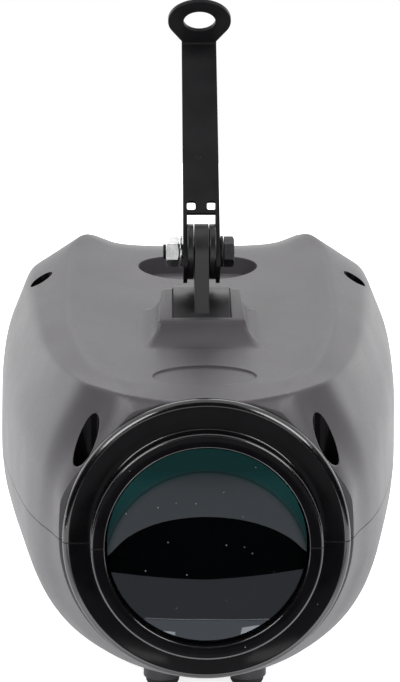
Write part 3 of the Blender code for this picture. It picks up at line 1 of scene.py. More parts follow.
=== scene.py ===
"""Dressed scene of the LED effect light: fine surfaces, finishes, studio light and camera."""

from math import acos, atan2, copysign, cos, degrees, hypot, pi, radians, sin, tan

import bmesh
import bpy
from mathutils import Matrix, Vector


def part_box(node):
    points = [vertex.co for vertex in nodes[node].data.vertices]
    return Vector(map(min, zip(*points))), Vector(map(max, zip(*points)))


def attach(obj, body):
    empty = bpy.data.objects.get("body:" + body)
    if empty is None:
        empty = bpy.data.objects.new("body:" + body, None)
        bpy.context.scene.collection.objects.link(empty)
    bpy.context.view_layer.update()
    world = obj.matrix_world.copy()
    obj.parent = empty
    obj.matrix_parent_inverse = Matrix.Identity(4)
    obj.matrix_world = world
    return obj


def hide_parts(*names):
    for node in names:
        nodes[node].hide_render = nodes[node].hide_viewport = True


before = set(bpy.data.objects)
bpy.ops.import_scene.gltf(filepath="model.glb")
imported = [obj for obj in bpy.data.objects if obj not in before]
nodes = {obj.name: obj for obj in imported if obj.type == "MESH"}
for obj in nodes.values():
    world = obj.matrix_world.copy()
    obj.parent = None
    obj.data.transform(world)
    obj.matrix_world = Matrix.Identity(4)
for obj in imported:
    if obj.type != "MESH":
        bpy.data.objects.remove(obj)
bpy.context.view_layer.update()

BODY_LENGTH = 0.207
AXIS_HEIGHT = 0.06
BODY_START = 0.012
GAP = 0.0003
WALL = 0.0026
SEAM_GAP = 0.0003
WALL_BITE = 0.0012
LIGHT = Matrix.Translation((0.0, -BODY_LENGTH / 2, AXIS_HEIGHT))
FULL_TURN = 2 * pi
TINY = 1e-6


def millimetres(*points):
    return tuple(tuple(value / 1000 for value in point) for point in points)


# Guide rails of the housing: the depth behind the lip, then a half-width, a height, or both.
# The heights are above the lens axis. Fullness is the power of the bowl's curve, and the two edge rails
# say how far the brow's and the ridge's corners are rounded.
SEAM_RAIL = millimetres(
    (12, 49.5), (20, 52.5), (33, 58), (48, 63), (67, 67.6), (90, 72.5), (115, 77), (141, 81), (172, 84),
    (192, 84), (207, 82.2),
)
FLANK_RAIL = millimetres(
    (12, 48.5, 17), (20, 50, 22), (33, 55.5, 27), (65, 65.5, 30), (100, 73.6, 33), (140, 80.2, 37),
    (185, 83.4, 42), (207, 81.2, 42),
)
BROW_RAIL = millimetres(
    (12, 25, 43), (14.5, 27, 46.2), (18, 29.5, 48.4), (24, 36.2, 49.2), (30, 41.8, 49.8), (42, 47.4, 50.4),
    (56, 52.6, 51.4), (72, 57.2, 52.8), (100, 63.2, 57.2), (140, 69, 63.2), (172, 72, 68),
    (190, 72.2, 69.4), (207, 69, 67),
)
RIDGE_RAIL = millimetres(
    (12, 15, 46.1), (20, 23, 49.2), (30, 32, 51.2), (42, 38.5, 53.6), (65, 45.2, 57.4), (100, 51, 63.4),
    (140, 53, 72), (172, 54, 79.4), (190, 49, 84.2), (207, 46, 82.2),
)
TROUGH_RAIL = millimetres(
    (12, 8, 46.6), (20, 13, 48.9), (30, 22.2, 49.4), (45, 29.5, 50.8), (65, 33, 53.8), (100, 36, 59.2),
    (140, 38, 67.1), (190, 35, 78.2), (207, 33, 77.2),
)
CENTRE_RAIL = millimetres(
    (12, 46.6), (17, 48.2), (30, 49.7), (50, 52), (75, 55.5), (100, 59), (120, 62.8), (140, 66.7),
    (165, 72), (190, 77.3), (207, 76.8),
)
KEEL_RAIL = millimetres(
    (12, 49), (20, 52.2), (30, 55), (45, 57), (70, 57.5), (185, 57.5), (207, 56),
)
FULLNESS_RAIL = ((0.012, 2.0), (0.03, 2.25), (0.048, 2.45), (0.09, 2.25), (0.207, 2.4))
BROW_EDGE_RAIL = millimetres(
    (12, 2), (40, 2.2), (72, 3.6), (110, 8), (207, 7),
)
RIDGE_EDGE_RAIL = millimetres(
    (12, 3), (40, 3.6), (207, 3.6),
)
# The crest above the nose ring: half-width, depth and height.
CREST_RAIL = millimetres(
    (0, 11.9, 46.4), (10.5, 12.3, 46.7), (17.8, 13.6, 47.2), (26.2, 16.2, 48.1), (35, 21.2, 48.8),
)
CREST_END = 0.03
CREST_HALF = 0.035
CREST_FADE = 0.008
CREST_FLOOR = 0.03
FLAT_ABOVE_SEAM = 0.006
INNER_EDGE = 0.0065
SIDE_SAMPLES = (4, 9, 8, 6, 3, 3, 6, 3, 6)
MIDDLE_SAMPLES = 8
LOWER_COLUMNS = 96
NOSE_ROWS = 18
BODY_ROWS = 46
NOSE_ROWS_END = 0.044
RIM_EDGE = 0.0008
RIM_START = BODY_LENGTH - 0.001
RIM_CHAMFER = 0.0003
WALL_ROWS = (0.0175, 0.064, 0.1, 0.13, 0.16)
FAR = 1.0
TOOL_TOP = 0.2
OVAL_TOOL_TOP = 0.08
POCKET_TOOL = (0.03, 0.12)

NOSE_RADIUS = 0.0483
NOSE_REAR = 0.0106
REVEAL_DEPTH = 0.0014
REVEAL_BITE = 0.0002
NOSE_EDGE = 0.0028
NOSE_REAR_CHAMFER = 0.0003
COLLAR_ROOT = 0.0007
COLLAR_BAND = 0.0022
COLLAR_EDGE = 0.001
LIP_EDGE = 0.0006
BAND_DEPTH = 0.007
COLLAR_RADIUS = 0.0384
COLLAR_BORE = 0.0337
GROOVE_FRONT = 0.0035
GROOVE_REAR = 0.0095
GROOVE_DEPTH = 0.0024
FRONT_WALL_REAR = 0.012
PANEL_RECESS = 0.008
PANEL_THICKNESS = 0.0025
LEDGE_WIDTH = 0.003
LEDGE_THICKNESS = 0.003
LENS_EDGE = 0.0026
LENS_SHOULDER = 0.0025
LENS_SHOULDER_RADIUS = 0.0332
LENS_SHOULDER_RISE = 0.0024
LENS_REAR_RISE = 0.0085
GASKET_WALL = 0.0011

WELLS = ((0.0402, 0.017), (0.065, 0.155))
WELL_RADIUS = 0.0045
WELL_WALL = 0.0016
WELL_FLOOR = 0.013
BOSS_RADIUS = 0.0043
HOUSING_SCREW_LENGTH = 0.024
PANEL_SCREW_LENGTH = 0.0085
SCREW_RADIUS = 0.0015
SCREW_HEAD_RADIUS = 0.0029
SCREW_HEAD_HEIGHT = 0.0022
RECESS = (0.0028, 0.0006)

FRONT_OVAL_DEPTH = 0.0385
FRONT_OVAL_SIZE = (0.036, 0.023)
OVAL_SINK = 0.0008
REAR_OVAL_DEPTH = 0.1645
REAR_OVAL_SIZE = (0.05, 0.029)
PEDESTAL_FRONT = 0.0735
PEDESTAL_REAR = 0.112
PEDESTAL_BASE_HALF = 0.0175
PEDESTAL_TOP_HALF = 0.0148
PEDESTAL_LIP = (0.078, 0.0638)
PEDESTAL_CREST = (0.0985, 0.0728)
PEDESTAL_BACK = (0.104, 0.0722)
PEDESTAL_UNDERSIDE = 0.052
PEDESTAL_EDGE = 0.0012
SKIRT_RADIUS = 0.0072
SKIRT_STEPS = 12
SKIRT_BITE = 0.0002
BLOCK_HALF = 0.0106
BLOCK_FRONT = 0.0797
BLOCK_REAR = 0.1032
BLOCK_RISE = 0.0006
LUG_THICKNESS = 0.0053
LUG_EYE_RADIUS = 0.0105

PIVOT_DEPTH = 0.093
PIVOT_HEIGHT = 0.0875
BOLT_RADIUS = 0.003
STRAP_LEAN = radians(35.3)
DISC_RADIUS = 0.0104
STRAP_THICKNESS = 0.0015
STRAP_WIDTH = 0.0137
STRAP_BEND_HEIGHT = 0.0905
STRAP_BEND_RADIUS = 0.0012
STRAP_BEND_STEPS = 16
STRAP_SETBACK = 0.0062
STRAP_MIDDLE = -STRAP_SETBACK - STRAP_THICKNESS / 2
BEND_RADIUS = STRAP_BEND_RADIUS + STRAP_THICKNESS / 2
BEND_START = STRAP_BEND_HEIGHT - BEND_RADIUS
BEND_LENGTH = BEND_RADIUS * pi / 2
FORK_TOP = 0.0175
FORK_BAR = 0.0122
FORK_WINDOW = 0.0038
EAR_DROP = 0.0105
EAR_REAR = 0.0066
EAR_CORNER = 0.0015
EAR_ROUND = 0.006
DENT_RADIUS = 0.0009
DENT_SPOT = (-0.0008, 0.0, 0.0366)
EYE_RADIUS = 0.0122
EYE_HOLE_RADIUS = 0.0062
EYE_REACH = 0.0146
WASHER_RADIUS = 0.006
WASHER_THICKNESS = 0.001
NUT_ACROSS_FLATS = 0.01
NUT_HEIGHT = 0.0048
BOLT_HEAD_HEIGHT = 0.0038
BOLT_OVERHANG = 0.0012
THREAD_HALF_PITCH = 0.0005
THREAD_DEPTH = 0.0003

KNOB_SPOT = (0.03, 0.022)
KNOB_RADIUS = 0.008
KNOB_LENGTH = 0.0064
KNOB_RIBS = 12
KNOB_RIB_DEPTH = 0.0005
POINTER_HALF = 0.0004
POINTER_START = 0.0015
POINTER_END = 0.0066
POINTER_DEPTH = 0.0005
FEET = ((0.015, 0.036), (0.045, 0.165))
FOOT_RADIUS = 0.006
FOOT_HEIGHT = 0.003
FOOT_POST_RADIUS = 0.0068
FOOT_PEG_RADIUS = 0.002
FOOT_PEG_LENGTH = 0.003
PANEL_OUTER = BODY_LENGTH - PANEL_RECESS
# How faces stand, by their normals: the ring's rounded edge, which gets a painted highlight, and the walls
# of a well and its floor, which get painted shade.
PAINTED_HIGHLIGHT_FACING = (-0.97, -0.2)
PAINTED_SHADE_WALL = 0.3
PAINTED_SHADE_FLOOR = 0.9
HANGER = LIGHT @ Matrix.Translation((0.0, PIVOT_DEPTH, PIVOT_HEIGHT)) @ Matrix.Rotation(-STRAP_LEAN, 4, "X")


# Plain shapes


def outward(bm):
    bmesh.ops.recalc_face_normals(bm, faces=bm.faces[:])


def spot(across, level, axis):
    """The point at a level along an axis, from its two places across that axis."""
    point = list(across)
    point.insert("XYZ".index(axis), level)
    return Vector(point)


def band(bm, ring, after, closed=True):
    """The faces between two rows of corners. Corners that fall together count once."""
    faces = []
    for k in range(len(ring) if closed else len(ring) - 1):
        m = (k + 1) % len(ring)
        corners = list(dict.fromkeys((ring[k], ring[m], after[m], after[k])))
        if len(corners) > 2:
            faces.append(bm.faces.new(corners))
    return faces


def prism(bm, outline, low, high, axis="Z"):
    first = [bm.verts.new(spot(p, low, axis)) for p in outline]
    last = [bm.verts.new(spot(p, high, axis)) for p in outline]
    faces = [bm.faces.new(first), bm.faces.new(last), *band(bm, first, last)]
    bmesh.ops.recalc_face_normals(bm, faces=faces)
    return first + last


def lathe(bm, profile, axis="Y", centre=(0.0, 0.0, 0.0), segments=64):
    """A closed profile of (radius, place along the axis), turned a full circle."""
    centre = Vector(centre)
    rings = []
    for radius, along in profile:
        if radius < 1e-9:
            rings.append([bm.verts.new(spot((0.0, 0.0), along, axis) + centre)] * segments)
            continue
        ring = []
        for k in range(segments):
            angle = FULL_TURN * (k + 0.5) / segments
            across = (radius * cos(angle), radius * sin(angle))
            ring.append(bm.verts.new(spot(across, along, axis) + centre))
        rings.append(ring)
    faces = []
    for i, ring in enumerate(rings):
        faces += band(bm, ring, rings[(i + 1) % len(rings)])
    bmesh.ops.recalc_face_normals(bm, faces=faces)
    return rings


def pulled(outline, low, high, axis):
    bm = bmesh.new()
    prism(bm, outline, low, high, axis)
    return bm


def turned(profile, axis="Y", centre=(0.0, 0.0, 0.0), segments=64):
    bm = bmesh.new()
    lathe(bm, profile, axis, centre, segments)
    return bm


def rod(radius, low, high):
    """The profile of a plain cylinder."""
    return (0.0, low), (radius, low), (radius, high), (0.0, high)


def box(left, right, near, far):
    """The outline of a rectangle."""
    return (left, near), (right, near), (right, far), (left, far)


def arc(centre, radius, start, stop, steps):
    points = []
    for i in range(steps + 1):
        angle = radians(start + (stop - start) * i / steps)
        points.append((centre[0] + radius * cos(angle), centre[1] + radius * sin(angle)))
    return points


def rounded_rectangle(size, radius, centre=(0.0, 0.0), steps=6):
    half_x, half_y = size[0] / 2 - radius, size[1] / 2 - radius
    corners = ((half_x, half_y, 0), (-half_x, half_y, 90), (-half_x, -half_y, 180), (half_x, -half_y, 270))
    points = []
    for x, y, start in corners:
        points += arc((centre[0] + x, centre[1] + y), radius, start, start + 90, steps)
    return points


def ellipse(size, centre=(0.0, 0.0), segments=64):
    points = []
    for k in range(segments):
        angle = FULL_TURN * (k + 0.5) / segments
        points.append((centre[0] + size[0] / 2 * cos(angle), centre[1] + size[1] / 2 * sin(angle)))
    return points


def bend(start, corner, end, t):
    return start * (1 - t) ** 2 + corner * 2 * t * (1 - t) + end * t**2


def soft(profile, radius, steps=3):
    """A closed profile off the axis with every corner rounded, as far as its sides allow."""
    rounded = []
    count = len(profile)
    for i, point in enumerate(profile):
        before, here, after = Vector(profile[i - 1]), Vector(point), Vector(profile[(i + 1) % count])
        into, away = here - before, after - here
        reach = min(radius, into.length * 0.45, away.length * 0.45)
        start, end = here - into.normalized() * reach, here + away.normalized() * reach
        rounded += [bend(start, here, end, k / steps).to_tuple() for k in range(steps + 1)]
    return rounded


# Pieces


def temporary(name, bm):
    mesh = bpy.data.meshes.new(name)
    bm.to_mesh(mesh)
    bm.free()
    obj = bpy.data.objects.new(name, mesh)
    bpy.context.scene.collection.objects.link(obj)
    return obj


def carve(obj, bm, operation):
    """Joins the shape to the object or cuts it out, and keeps the result as the object's own mesh."""
    tool = temporary("tool", bm)
    step = obj.modifiers.new("carve", "BOOLEAN")
    step.operation = operation
    step.object = tool
    step.solver = "EXACT"
    bpy.context.view_layer.update()
    result = bpy.data.meshes.new_from_object(obj.evaluated_get(bpy.context.evaluated_depsgraph_get()))
    obj.modifiers.clear()
    old = obj.data
    obj.data = result
    bpy.data.meshes.remove(old)
    bpy.data.objects.remove(tool)


def finish_piece(obj, node, body, finish, place=LIGHT, angle=35):
    """Names a piece, puts it where its CAD node is, and gives it its finish."""
    obj.name = f"fine_{node}"
    obj.data.name = obj.name
    obj.data.transform(place)
    obj.data.materials.clear()
    obj.data.materials.append(finish)
    obj.data.shade_smooth()
    obj.data.set_sharp_from_angle(angle=radians(angle))
    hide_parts(node)
    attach(obj, body)


def piece(node, bm, body, finish, place=LIGHT, angle=35):
    outward(bm)
    finish_piece(temporary(node, bm), node, body, finish, place, angle)


# Form of the housing


def rail(points, depth, column=1):
    """A smooth value along a guide rail, with no overshoot between its points."""
    xs = [p[0] for p in points]
    ys = [p[column] for p in points]
    if depth <= xs[0]:
        return ys[0]
    if depth >= xs[-1]:
        return ys[-1]
    i = max(k for k in range(len(xs) - 1) if xs[k] <= depth)
    steps = [(ys[k + 1] - ys[k]) / (xs[k + 1] - xs[k]) for k in range(len(xs) - 1)]

    def slope(k):
        if k in (0, len(xs) - 1):
            return steps[0 if k == 0 else -1]
        before, after = steps[k - 1], steps[k]
        return 2 * before * after / (before + after) if before * after > 0 else 0.0

    span = xs[i + 1] - xs[i]
    t = (depth - xs[i]) / span
    return (
        ys[i] * (2 * t**3 - 3 * t**2 + 1)
        + span * slope(i) * (t**3 - 2 * t**2 + t)
        + ys[i + 1] * (3 * t**2 - 2 * t**3)
        + span * slope(i + 1) * (t**3 - t**2)
    )


def toward(start, goal, distance):
    step = Vector(goal) - Vector(start)
    return Vector(start) + step * min(distance / step.length, 0.45)


def smooth_curve(controls, samples):
    points = []
    last = len(controls) - 2
    for i in range(1, last + 1):
        before = controls[0] if i == 1 else (controls[i - 1] + controls[i]) / 2
        after = controls[-1] if i == last else (controls[i] + controls[i + 1]) / 2
        count = samples[i - 1]
        points += [bend(before, controls[i], after, k / count) for k in range(count)]
    points.append(controls[-1].copy())
    return points


def control_section(depth, least_edge=0.0):
    seam = Vector((rail(SEAM_RAIL, depth), 0.0))
    flank, brow, ridge, trough = (
        Vector((rail(points, depth), rail(points, depth, 2)))
        for points in (FLANK_RAIL, BROW_RAIL, RIDGE_RAIL, TROUGH_RAIL)
    )
    centre = Vector((0.0, rail(CENTRE_RAIL, depth)))
    brow_edge = max(rail(BROW_EDGE_RAIL, depth), least_edge)
    ridge_edge = max(rail(RIDGE_EDGE_RAIL, depth), least_edge)
    right = [
        seam,
        Vector((seam.x, FLAT_ABOVE_SEAM)),
        flank,
        toward(brow, flank, brow_edge),
        brow,
        toward(brow, ridge, brow_edge),
        toward(ridge, brow, ridge_edge),
        ridge,
        toward(ridge, trough, ridge_edge),
        trough,
    ]
    left = [Vector((-p.x, p.y)) for p in reversed(right)]
    samples = SIDE_SAMPLES + (MIDDLE_SAMPLES,) + SIDE_SAMPLES[::-1]
    return smooth_curve(right + [centre] + left, samples)


def height_on(points, x):
    found = 0.0
    for a, b in zip(points, points[1:]):
        low, high = min(a.x, b.x), max(a.x, b.x)
        if low <= x <= high and high > low:
            found = max(found, a.y + (b.y - a.y) * (x - a.x) / (b.x - a.x))
    return found


def upper_section(depth, least_edge=0.0):
    """The controls' curve, with the crest of the front face drawn sharper above the nose ring."""
    points = control_section(depth, least_edge)
    if depth >= CREST_END:
        return points
    for p in points:
        x = abs(p.x)
        if x > CREST_HALF or p.y < CREST_FLOOR:
            continue
        crest, top = rail(CREST_RAIL, x), rail(CREST_RAIL, x, 2)
        if depth < crest:
            start = height_on(FRONT_SECTION, x)
            goal = start + (top - start) * (depth - BODY_START) / max(crest - BODY_START, TINY)
        else:
            goal = top + (height_on(CREST_END_SECTION, x) - top) * (depth - crest) / (CREST_END - crest)
        share = min((CREST_HALF - x) / CREST_FADE, 1.0)
        p.y += (goal - p.y) * share
    return points


FRONT_SECTION = control_section(BODY_START)
CREST_END_SECTION = control_section(CREST_END)


def lower_section(depth):
    half, keel = rail(SEAM_RAIL, depth), rail(KEEL_RAIL, depth)
    power = 2 / rail(FULLNESS_RAIL, depth)
    points = []
    for k in range(LOWER_COLUMNS + 1):
        angle = pi * k / LOWER_COLUMNS
        c, s = cos(angle), sin(angle)
        points.append(Vector((copysign(abs(c) ** power, c) * half, -(abs(s) ** power) * keel)))
    points[0].y = 0.0
    points[-1].y = 0.0
    return points


def inset(points, distance):
    moved = []
    middle = Vector((0.0, points[len(points) // 2].y * 0.3))
    for i, point in enumerate(points):
        before, after = points[max(i - 1, 0)], points[min(i + 1, len(points) - 1)]
        along = after - before
        normal = Vector((-along.y, along.x)).normalized()
        if i in (0, len(points) - 1):
            normal = Vector((1.0, 0.0)) if point.x < 0 else Vector((-1.0, 0.0))
        elif normal.dot(middle - point) < 0:
            normal.negate()
        moved.append(point + normal * distance)
    return moved


def section(depth, upper, offset=0.0):
    if upper:
        points = upper_section(depth, INNER_EDGE if offset > 0.001 else 0.0)
    else:
        points = lower_section(depth)
    return inset(points, offset) if offset else points


def upper_height(x, depth):
    return height_on(upper_section(max(depth, BODY_START)), x)


def lower_height(x, depth):
    half, keel = rail(SEAM_RAIL, depth), rail(KEEL_RAIL, depth)
    power = rail(FULLNESS_RAIL, depth)
    return -keel * max(1 - (abs(x) / half) ** power, 0.0) ** (1 / power)


def nose_profile():
    """Radius and depth of the nose ring, collar and lens groove, with moulded edges."""
    reveal = NOSE_RADIUS - REVEAL_DEPTH
    chamfer, root = NOSE_REAR_CHAMFER, COLLAR_ROOT
    points = [(reveal, BODY_START - REVEAL_BITE), (reveal, NOSE_REAR), (NOSE_RADIUS - chamfer, NOSE_REAR)]
    points.append((NOSE_RADIUS, NOSE_REAR - chamfer))
    points += arc((NOSE_RADIUS - NOSE_EDGE, BAND_DEPTH + NOSE_EDGE), NOSE_EDGE, 0, -90, 8)
    points += [(COLLAR_RADIUS + COLLAR_BAND, BAND_DEPTH)]
    points += arc((COLLAR_RADIUS + root, BAND_DEPTH - root), root, 90, 180, 4)
    points += arc((COLLAR_RADIUS - COLLAR_EDGE, COLLAR_EDGE), COLLAR_EDGE, 0, -90, 6)
    points += arc((COLLAR_BORE + LIP_EDGE, LIP_EDGE), LIP_EDGE, -90, -180, 4)
    points += [(COLLAR_BORE, GROOVE_FRONT), (COLLAR_BORE + GROOVE_DEPTH, GROOVE_FRONT)]
    points += [(COLLAR_BORE + GROOVE_DEPTH, GROOVE_REAR), (COLLAR_BORE, GROOVE_REAR)]
    points += [(COLLAR_BORE, FRONT_WALL_REAR), (NOSE_RADIUS - 2 * WALL, FRONT_WALL_REAR)]
    return points


def shell_rows(upper):
    """Every row of a shell half as depths and points, once round its wall."""
    depths = [BODY_START + (NOSE_ROWS_END - BODY_START) * (k / NOSE_ROWS) ** 1.5 for k in range(NOSE_ROWS)]
    depths += [NOSE_ROWS_END + (RIM_START - NOSE_ROWS_END) * k / BODY_ROWS for k in range(BODY_ROWS + 1)]
    rows = [(depth, section(depth, upper)) for depth in reversed(depths)]
    rim = []
    for turn in (90, 67.5, 45, 22.5):
        angle = radians(turn)
        rim.append((BODY_LENGTH - RIM_EDGE * (1 - sin(angle)), RIM_EDGE * (1 - cos(angle))))
    rows = [(depth, section(BODY_LENGTH, upper, max(offset, TINY))) for depth, offset in rim] + rows
    start = section(BODY_START, upper)
    for radius, depth in nose_profile():
        rows.append((depth, [p.normalized() * radius for p in start]))
    panel_seat = PANEL_OUTER - PANEL_THICKNESS
    ledge_end = panel_seat - LEDGE_THICKNESS
    inside = [(depth, WALL) for depth in (*WALL_ROWS, ledge_end - LEDGE_WIDTH)]
    inside += [(ledge_end, WALL + LEDGE_WIDTH), (panel_seat, WALL + LEDGE_WIDTH), (panel_seat, WALL)]
    rows += [(depth, section(depth, upper, wall)) for depth, wall in inside]
    rows.append((BODY_LENGTH - RIM_CHAMFER, section(BODY_LENGTH, upper, WALL)))
    rows.append((BODY_LENGTH, section(BODY_LENGTH, upper, WALL - RIM_CHAMFER)))
    return rows


def shell_half(name, upper):
    shift = SEAM_GAP / 2 if upper else -SEAM_GAP / 2
    bm = bmesh.new()
    grid = []
    for depth, points in shell_rows(upper):
        grid.append([bm.verts.new((p.x, depth, p.y + shift)) for p in points])
    for i, row in enumerate(grid):
        band(bm, row, grid[(i + 1) % len(grid)], closed=False)
    bm.faces.new([row[0] for row in grid])
    bm.faces.new([row[-1] for row in grid])
    outward(bm)
    return temporary(name, bm)


def raise_end(rings, height):
    """Moves the far end of a turned shape onto a curved wall."""
    for vert in set(rings[-2] + rings[-1]):
        vert.co.z = height(vert.co.x, vert.co.y)


def four(spots):
    """Name, x and depth of each of four pieces, from their half-widths and depths."""
    for (half, depth), place in zip(spots, ("front", "rear")):
        for x, side in ((-half, "left"), (half, "right")):
            yield f"{place}_{side}", x, depth


def pedestal(bm):
    """The raised seat of the lug block, wider at its foot, its upper edges rounded."""
    front, rear, foot = PEDESTAL_FRONT, PEDESTAL_REAR, PEDESTAL_UNDERSIDE
    slope_start = rail(CENTRE_RAIL, front)
    outline = ((front, foot), (rear, foot), (rear, rail(CENTRE_RAIL, rear)))
    outline += (PEDESTAL_BACK, PEDESTAL_CREST, PEDESTAL_LIP, (front, slope_start))
    verts = prism(bm, outline, -PEDESTAL_BASE_HALF, PEDESTAL_BASE_HALF, "X")
    for vert in verts:
        rise = max((vert.co.z - slope_start) / (PEDESTAL_CREST[1] - slope_start), 0.0)
        half = PEDESTAL_BASE_HALF + (PEDESTAL_TOP_HALF - PEDESTAL_BASE_HALF) * rise
        vert.co.x = copysign(half, vert.co.x)
    upper = {vert for vert in verts if vert.co.z > slope_start + 0.001}
    edges = [e for e in bm.edges if all(v in upper for v in e.verts)]
    bmesh.ops.bevel(bm, geom=edges, offset=PEDESTAL_EDGE, segments=5, profile=0.5, affect="EDGES")


def skirt(bm):
    """A hollow fillet that runs from the leaning walls of the pedestal out into the saddle."""
    foot = rail(CENTRE_RAIL, PEDESTAL_FRONT)
    lean_front = (PEDESTAL_LIP[0] - PEDESTAL_FRONT) / (PEDESTAL_LIP[1] - foot)
    lean_side = (PEDESTAL_BASE_HALF - PEDESTAL_TOP_HALF) / (PEDESTAL_CREST[1] - foot)
    lean_rear = (PEDESTAL_REAR - PEDESTAL_BACK[0]) / (PEDESTAL_BACK[1] - rail(CENTRE_RAIL, PEDESTAL_REAR))
    rings = []
    for k in range(SKIRT_STEPS + 1):
        turn = pi / 2 * k / SKIRT_STEPS
        out, rise = SKIRT_RADIUS * (1 - cos(turn)), SKIRT_RADIUS * (1 - sin(turn))
        near = PEDESTAL_FRONT + lean_front * rise - out + SKIRT_BITE
        far = PEDESTAL_REAR - lean_rear * rise + out - SKIRT_BITE
        half = PEDESTAL_BASE_HALF - lean_side * rise + out - SKIRT_BITE
        corner = PEDESTAL_EDGE + 0.45 * out
        outline = rounded_rectangle((2 * half, far - near), corner, (0.0, (near + far) / 2), 8)
        rings.append([(x, y, upper_height(x, y) + rise - SKIRT_BITE / 2) for x, y in outline])
    rings.append([(x, y, z - WALL_BITE) for x, y, z in rings[-1]])
    grid = [[bm.verts.new(p) for p in ring] for ring in rings]
    for ring, after in zip(grid, grid[1:]):
        band(bm, ring, after)
    bm.faces.new(grid[0])
    bm.faces.new(grid[-1])
    outward(bm)


def paint_ring_and_well_light(shell, inner, edge):
    """Paints light onto the nose ring, the collar and the screw wells with their own finishes: a painted
    highlight on the rounded edges of the ring and collar, and painted shade on their flat faces and in the
    screw wells.
    """
    shell.data.materials.append(inner)
    shell.data.materials.append(edge)
    ahead = BODY_START - 0.0004 - BODY_LENGTH / 2
    for face in shell.data.polygons:
        x, y = face.center.x, face.center.y
        if y < ahead:
            # Faces on the rounded edge get the painted highlight finish, the other ring and collar faces the
            # dark finish with its reflection painted down as shade.
            painted_highlight_face = PAINTED_HIGHLIGHT_FACING[0] < face.normal.y < PAINTED_HIGHLIGHT_FACING[1]
            face.material_index = 2 if painted_highlight_face else 1
        # The walls and floors of the screw wells get the dark ring finish as painted shade.
        elif abs(face.normal.z) < PAINTED_SHADE_WALL or face.normal.z > PAINTED_SHADE_FLOOR:
            depth = y + BODY_LENGTH / 2
            if min(hypot(abs(x) - half, depth - well) for half, well in WELLS) < WELL_RADIUS + 0.0001:
                face.material_index = 1


def upper_shell(finish, inner, edge):
    shell = shell_half("upper", True)
    seat = SEAM_GAP / 2
    inside = bmesh.new()
    step, wide = WELL_FLOOR - WELL_WALL, WELL_RADIUS + WELL_WALL
    column = ((0.0, seat), (BOSS_RADIUS, seat), (BOSS_RADIUS, step), (wide, step), (wide, FAR), (0.0, FAR))
    for _, x, depth in four(WELLS):
        rings = lathe(inside, column, "Z", (x, depth, 0.0), 48)
        raise_end(rings, lambda px, py: upper_height(px, py) - WALL_BITE)
    floor = rail(CENTRE_RAIL, REAR_OVAL_DEPTH - REAR_OVAL_SIZE[1] / 2) - OVAL_SINK
    rim = (REAR_OVAL_SIZE[0] + 2 * WALL, REAR_OVAL_SIZE[1] + 2 * WALL)
    outline = ellipse(rim, (0.0, REAR_OVAL_DEPTH))
    for vert in prism(inside, outline, floor - WALL, FAR)[len(outline):]:
        vert.co.z = max(rail(CENTRE_RAIL, vert.co.y) - WALL_BITE, floor - WALL / 2)
    pedestal(inside)
    carve(shell, inside, "UNION")
    flare = bmesh.new()
    skirt(flare)
    carve(shell, flare, "UNION")

    hollows = bmesh.new()
    hole = SCREW_RADIUS + GAP
    bore = (
        (0.0, -WELL_FLOOR), (hole, -WELL_FLOOR), (hole, WELL_FLOOR),
        (WELL_RADIUS, WELL_FLOOR), (WELL_RADIUS, TOOL_TOP), (0.0, TOOL_TOP),
    )
    for _, x, depth in four(WELLS):
        lathe(hollows, bore, "Z", (x, depth, 0.0), 72)
    outline = ellipse(FRONT_OVAL_SIZE, (0.0, FRONT_OVAL_DEPTH), 96)
    for i, vert in enumerate(prism(hollows, outline, 0.0, FAR)):
        vert.co.z = rail(CENTRE_RAIL, vert.co.y) - OVAL_SINK if i < len(outline) else OVAL_TOOL_TOP
    prism(hollows, ellipse(REAR_OVAL_SIZE, (0.0, REAR_OVAL_DEPTH), 96), floor, floor + 0.03)
    half = BLOCK_HALF + GAP
    prism(hollows, box(-half, half, BLOCK_FRONT - GAP, BLOCK_REAR + GAP), *POCKET_TOOL)
    carve(shell, hollows, "DIFFERENCE")
    finish_piece(shell, "upper_shell", "housing", finish, angle=32)
    paint_ring_and_well_light(shell, inner, edge)


def lower_shell(finish, inner, edge):
    shell = shell_half("lower", False)
    inside = bmesh.new()
    bottom = FOOT_HEIGHT - AXIS_HEIGHT
    for _, x, depth in four(FEET):
        rings = lathe(inside, rod(FOOT_POST_RADIUS, bottom, FAR), "Z", (x, depth, 0.0), 48)
        raise_end(rings, lambda px, py: lower_height(px, max(py, BODY_START)) + WALL_BITE)
    carve(shell, inside, "UNION")
    finish_piece(shell, "lower_shell", "housing", finish, angle=32)
    paint_ring_and_well_light(shell, inner, edge)


# Lens, hinge and small pieces


def lens_rim():
    middle = (GROOVE_FRONT + GROOVE_REAR) / 2
    return middle - LENS_EDGE / 2, middle + LENS_EDGE / 2


def front_lens(finish):
    front, rear = lens_rim()
    radius = COLLAR_BORE + GROOVE_DEPTH - 2 * GAP - GASKET_WALL
    clear = COLLAR_BORE - GASKET_WALL
    steps = 20

    def dome(reach, edge, rise):
        """Points of a dome from its middle out to its edge."""
        return [(reach * k / steps, edge + rise * (1 - (k / steps) ** 2)) for k in range(steps + 1)]

    profile = dome(LENS_SHOULDER_RADIUS, LENS_SHOULDER, -LENS_SHOULDER_RISE)
    profile += [(LENS_SHOULDER_RADIUS, front), (radius, front), (radius, rear)]
    profile += reversed(dome(clear, rear, LENS_REAR_RISE))
    piece("front_lens", turned(profile, segments=128), "housing", finish, angle=20)


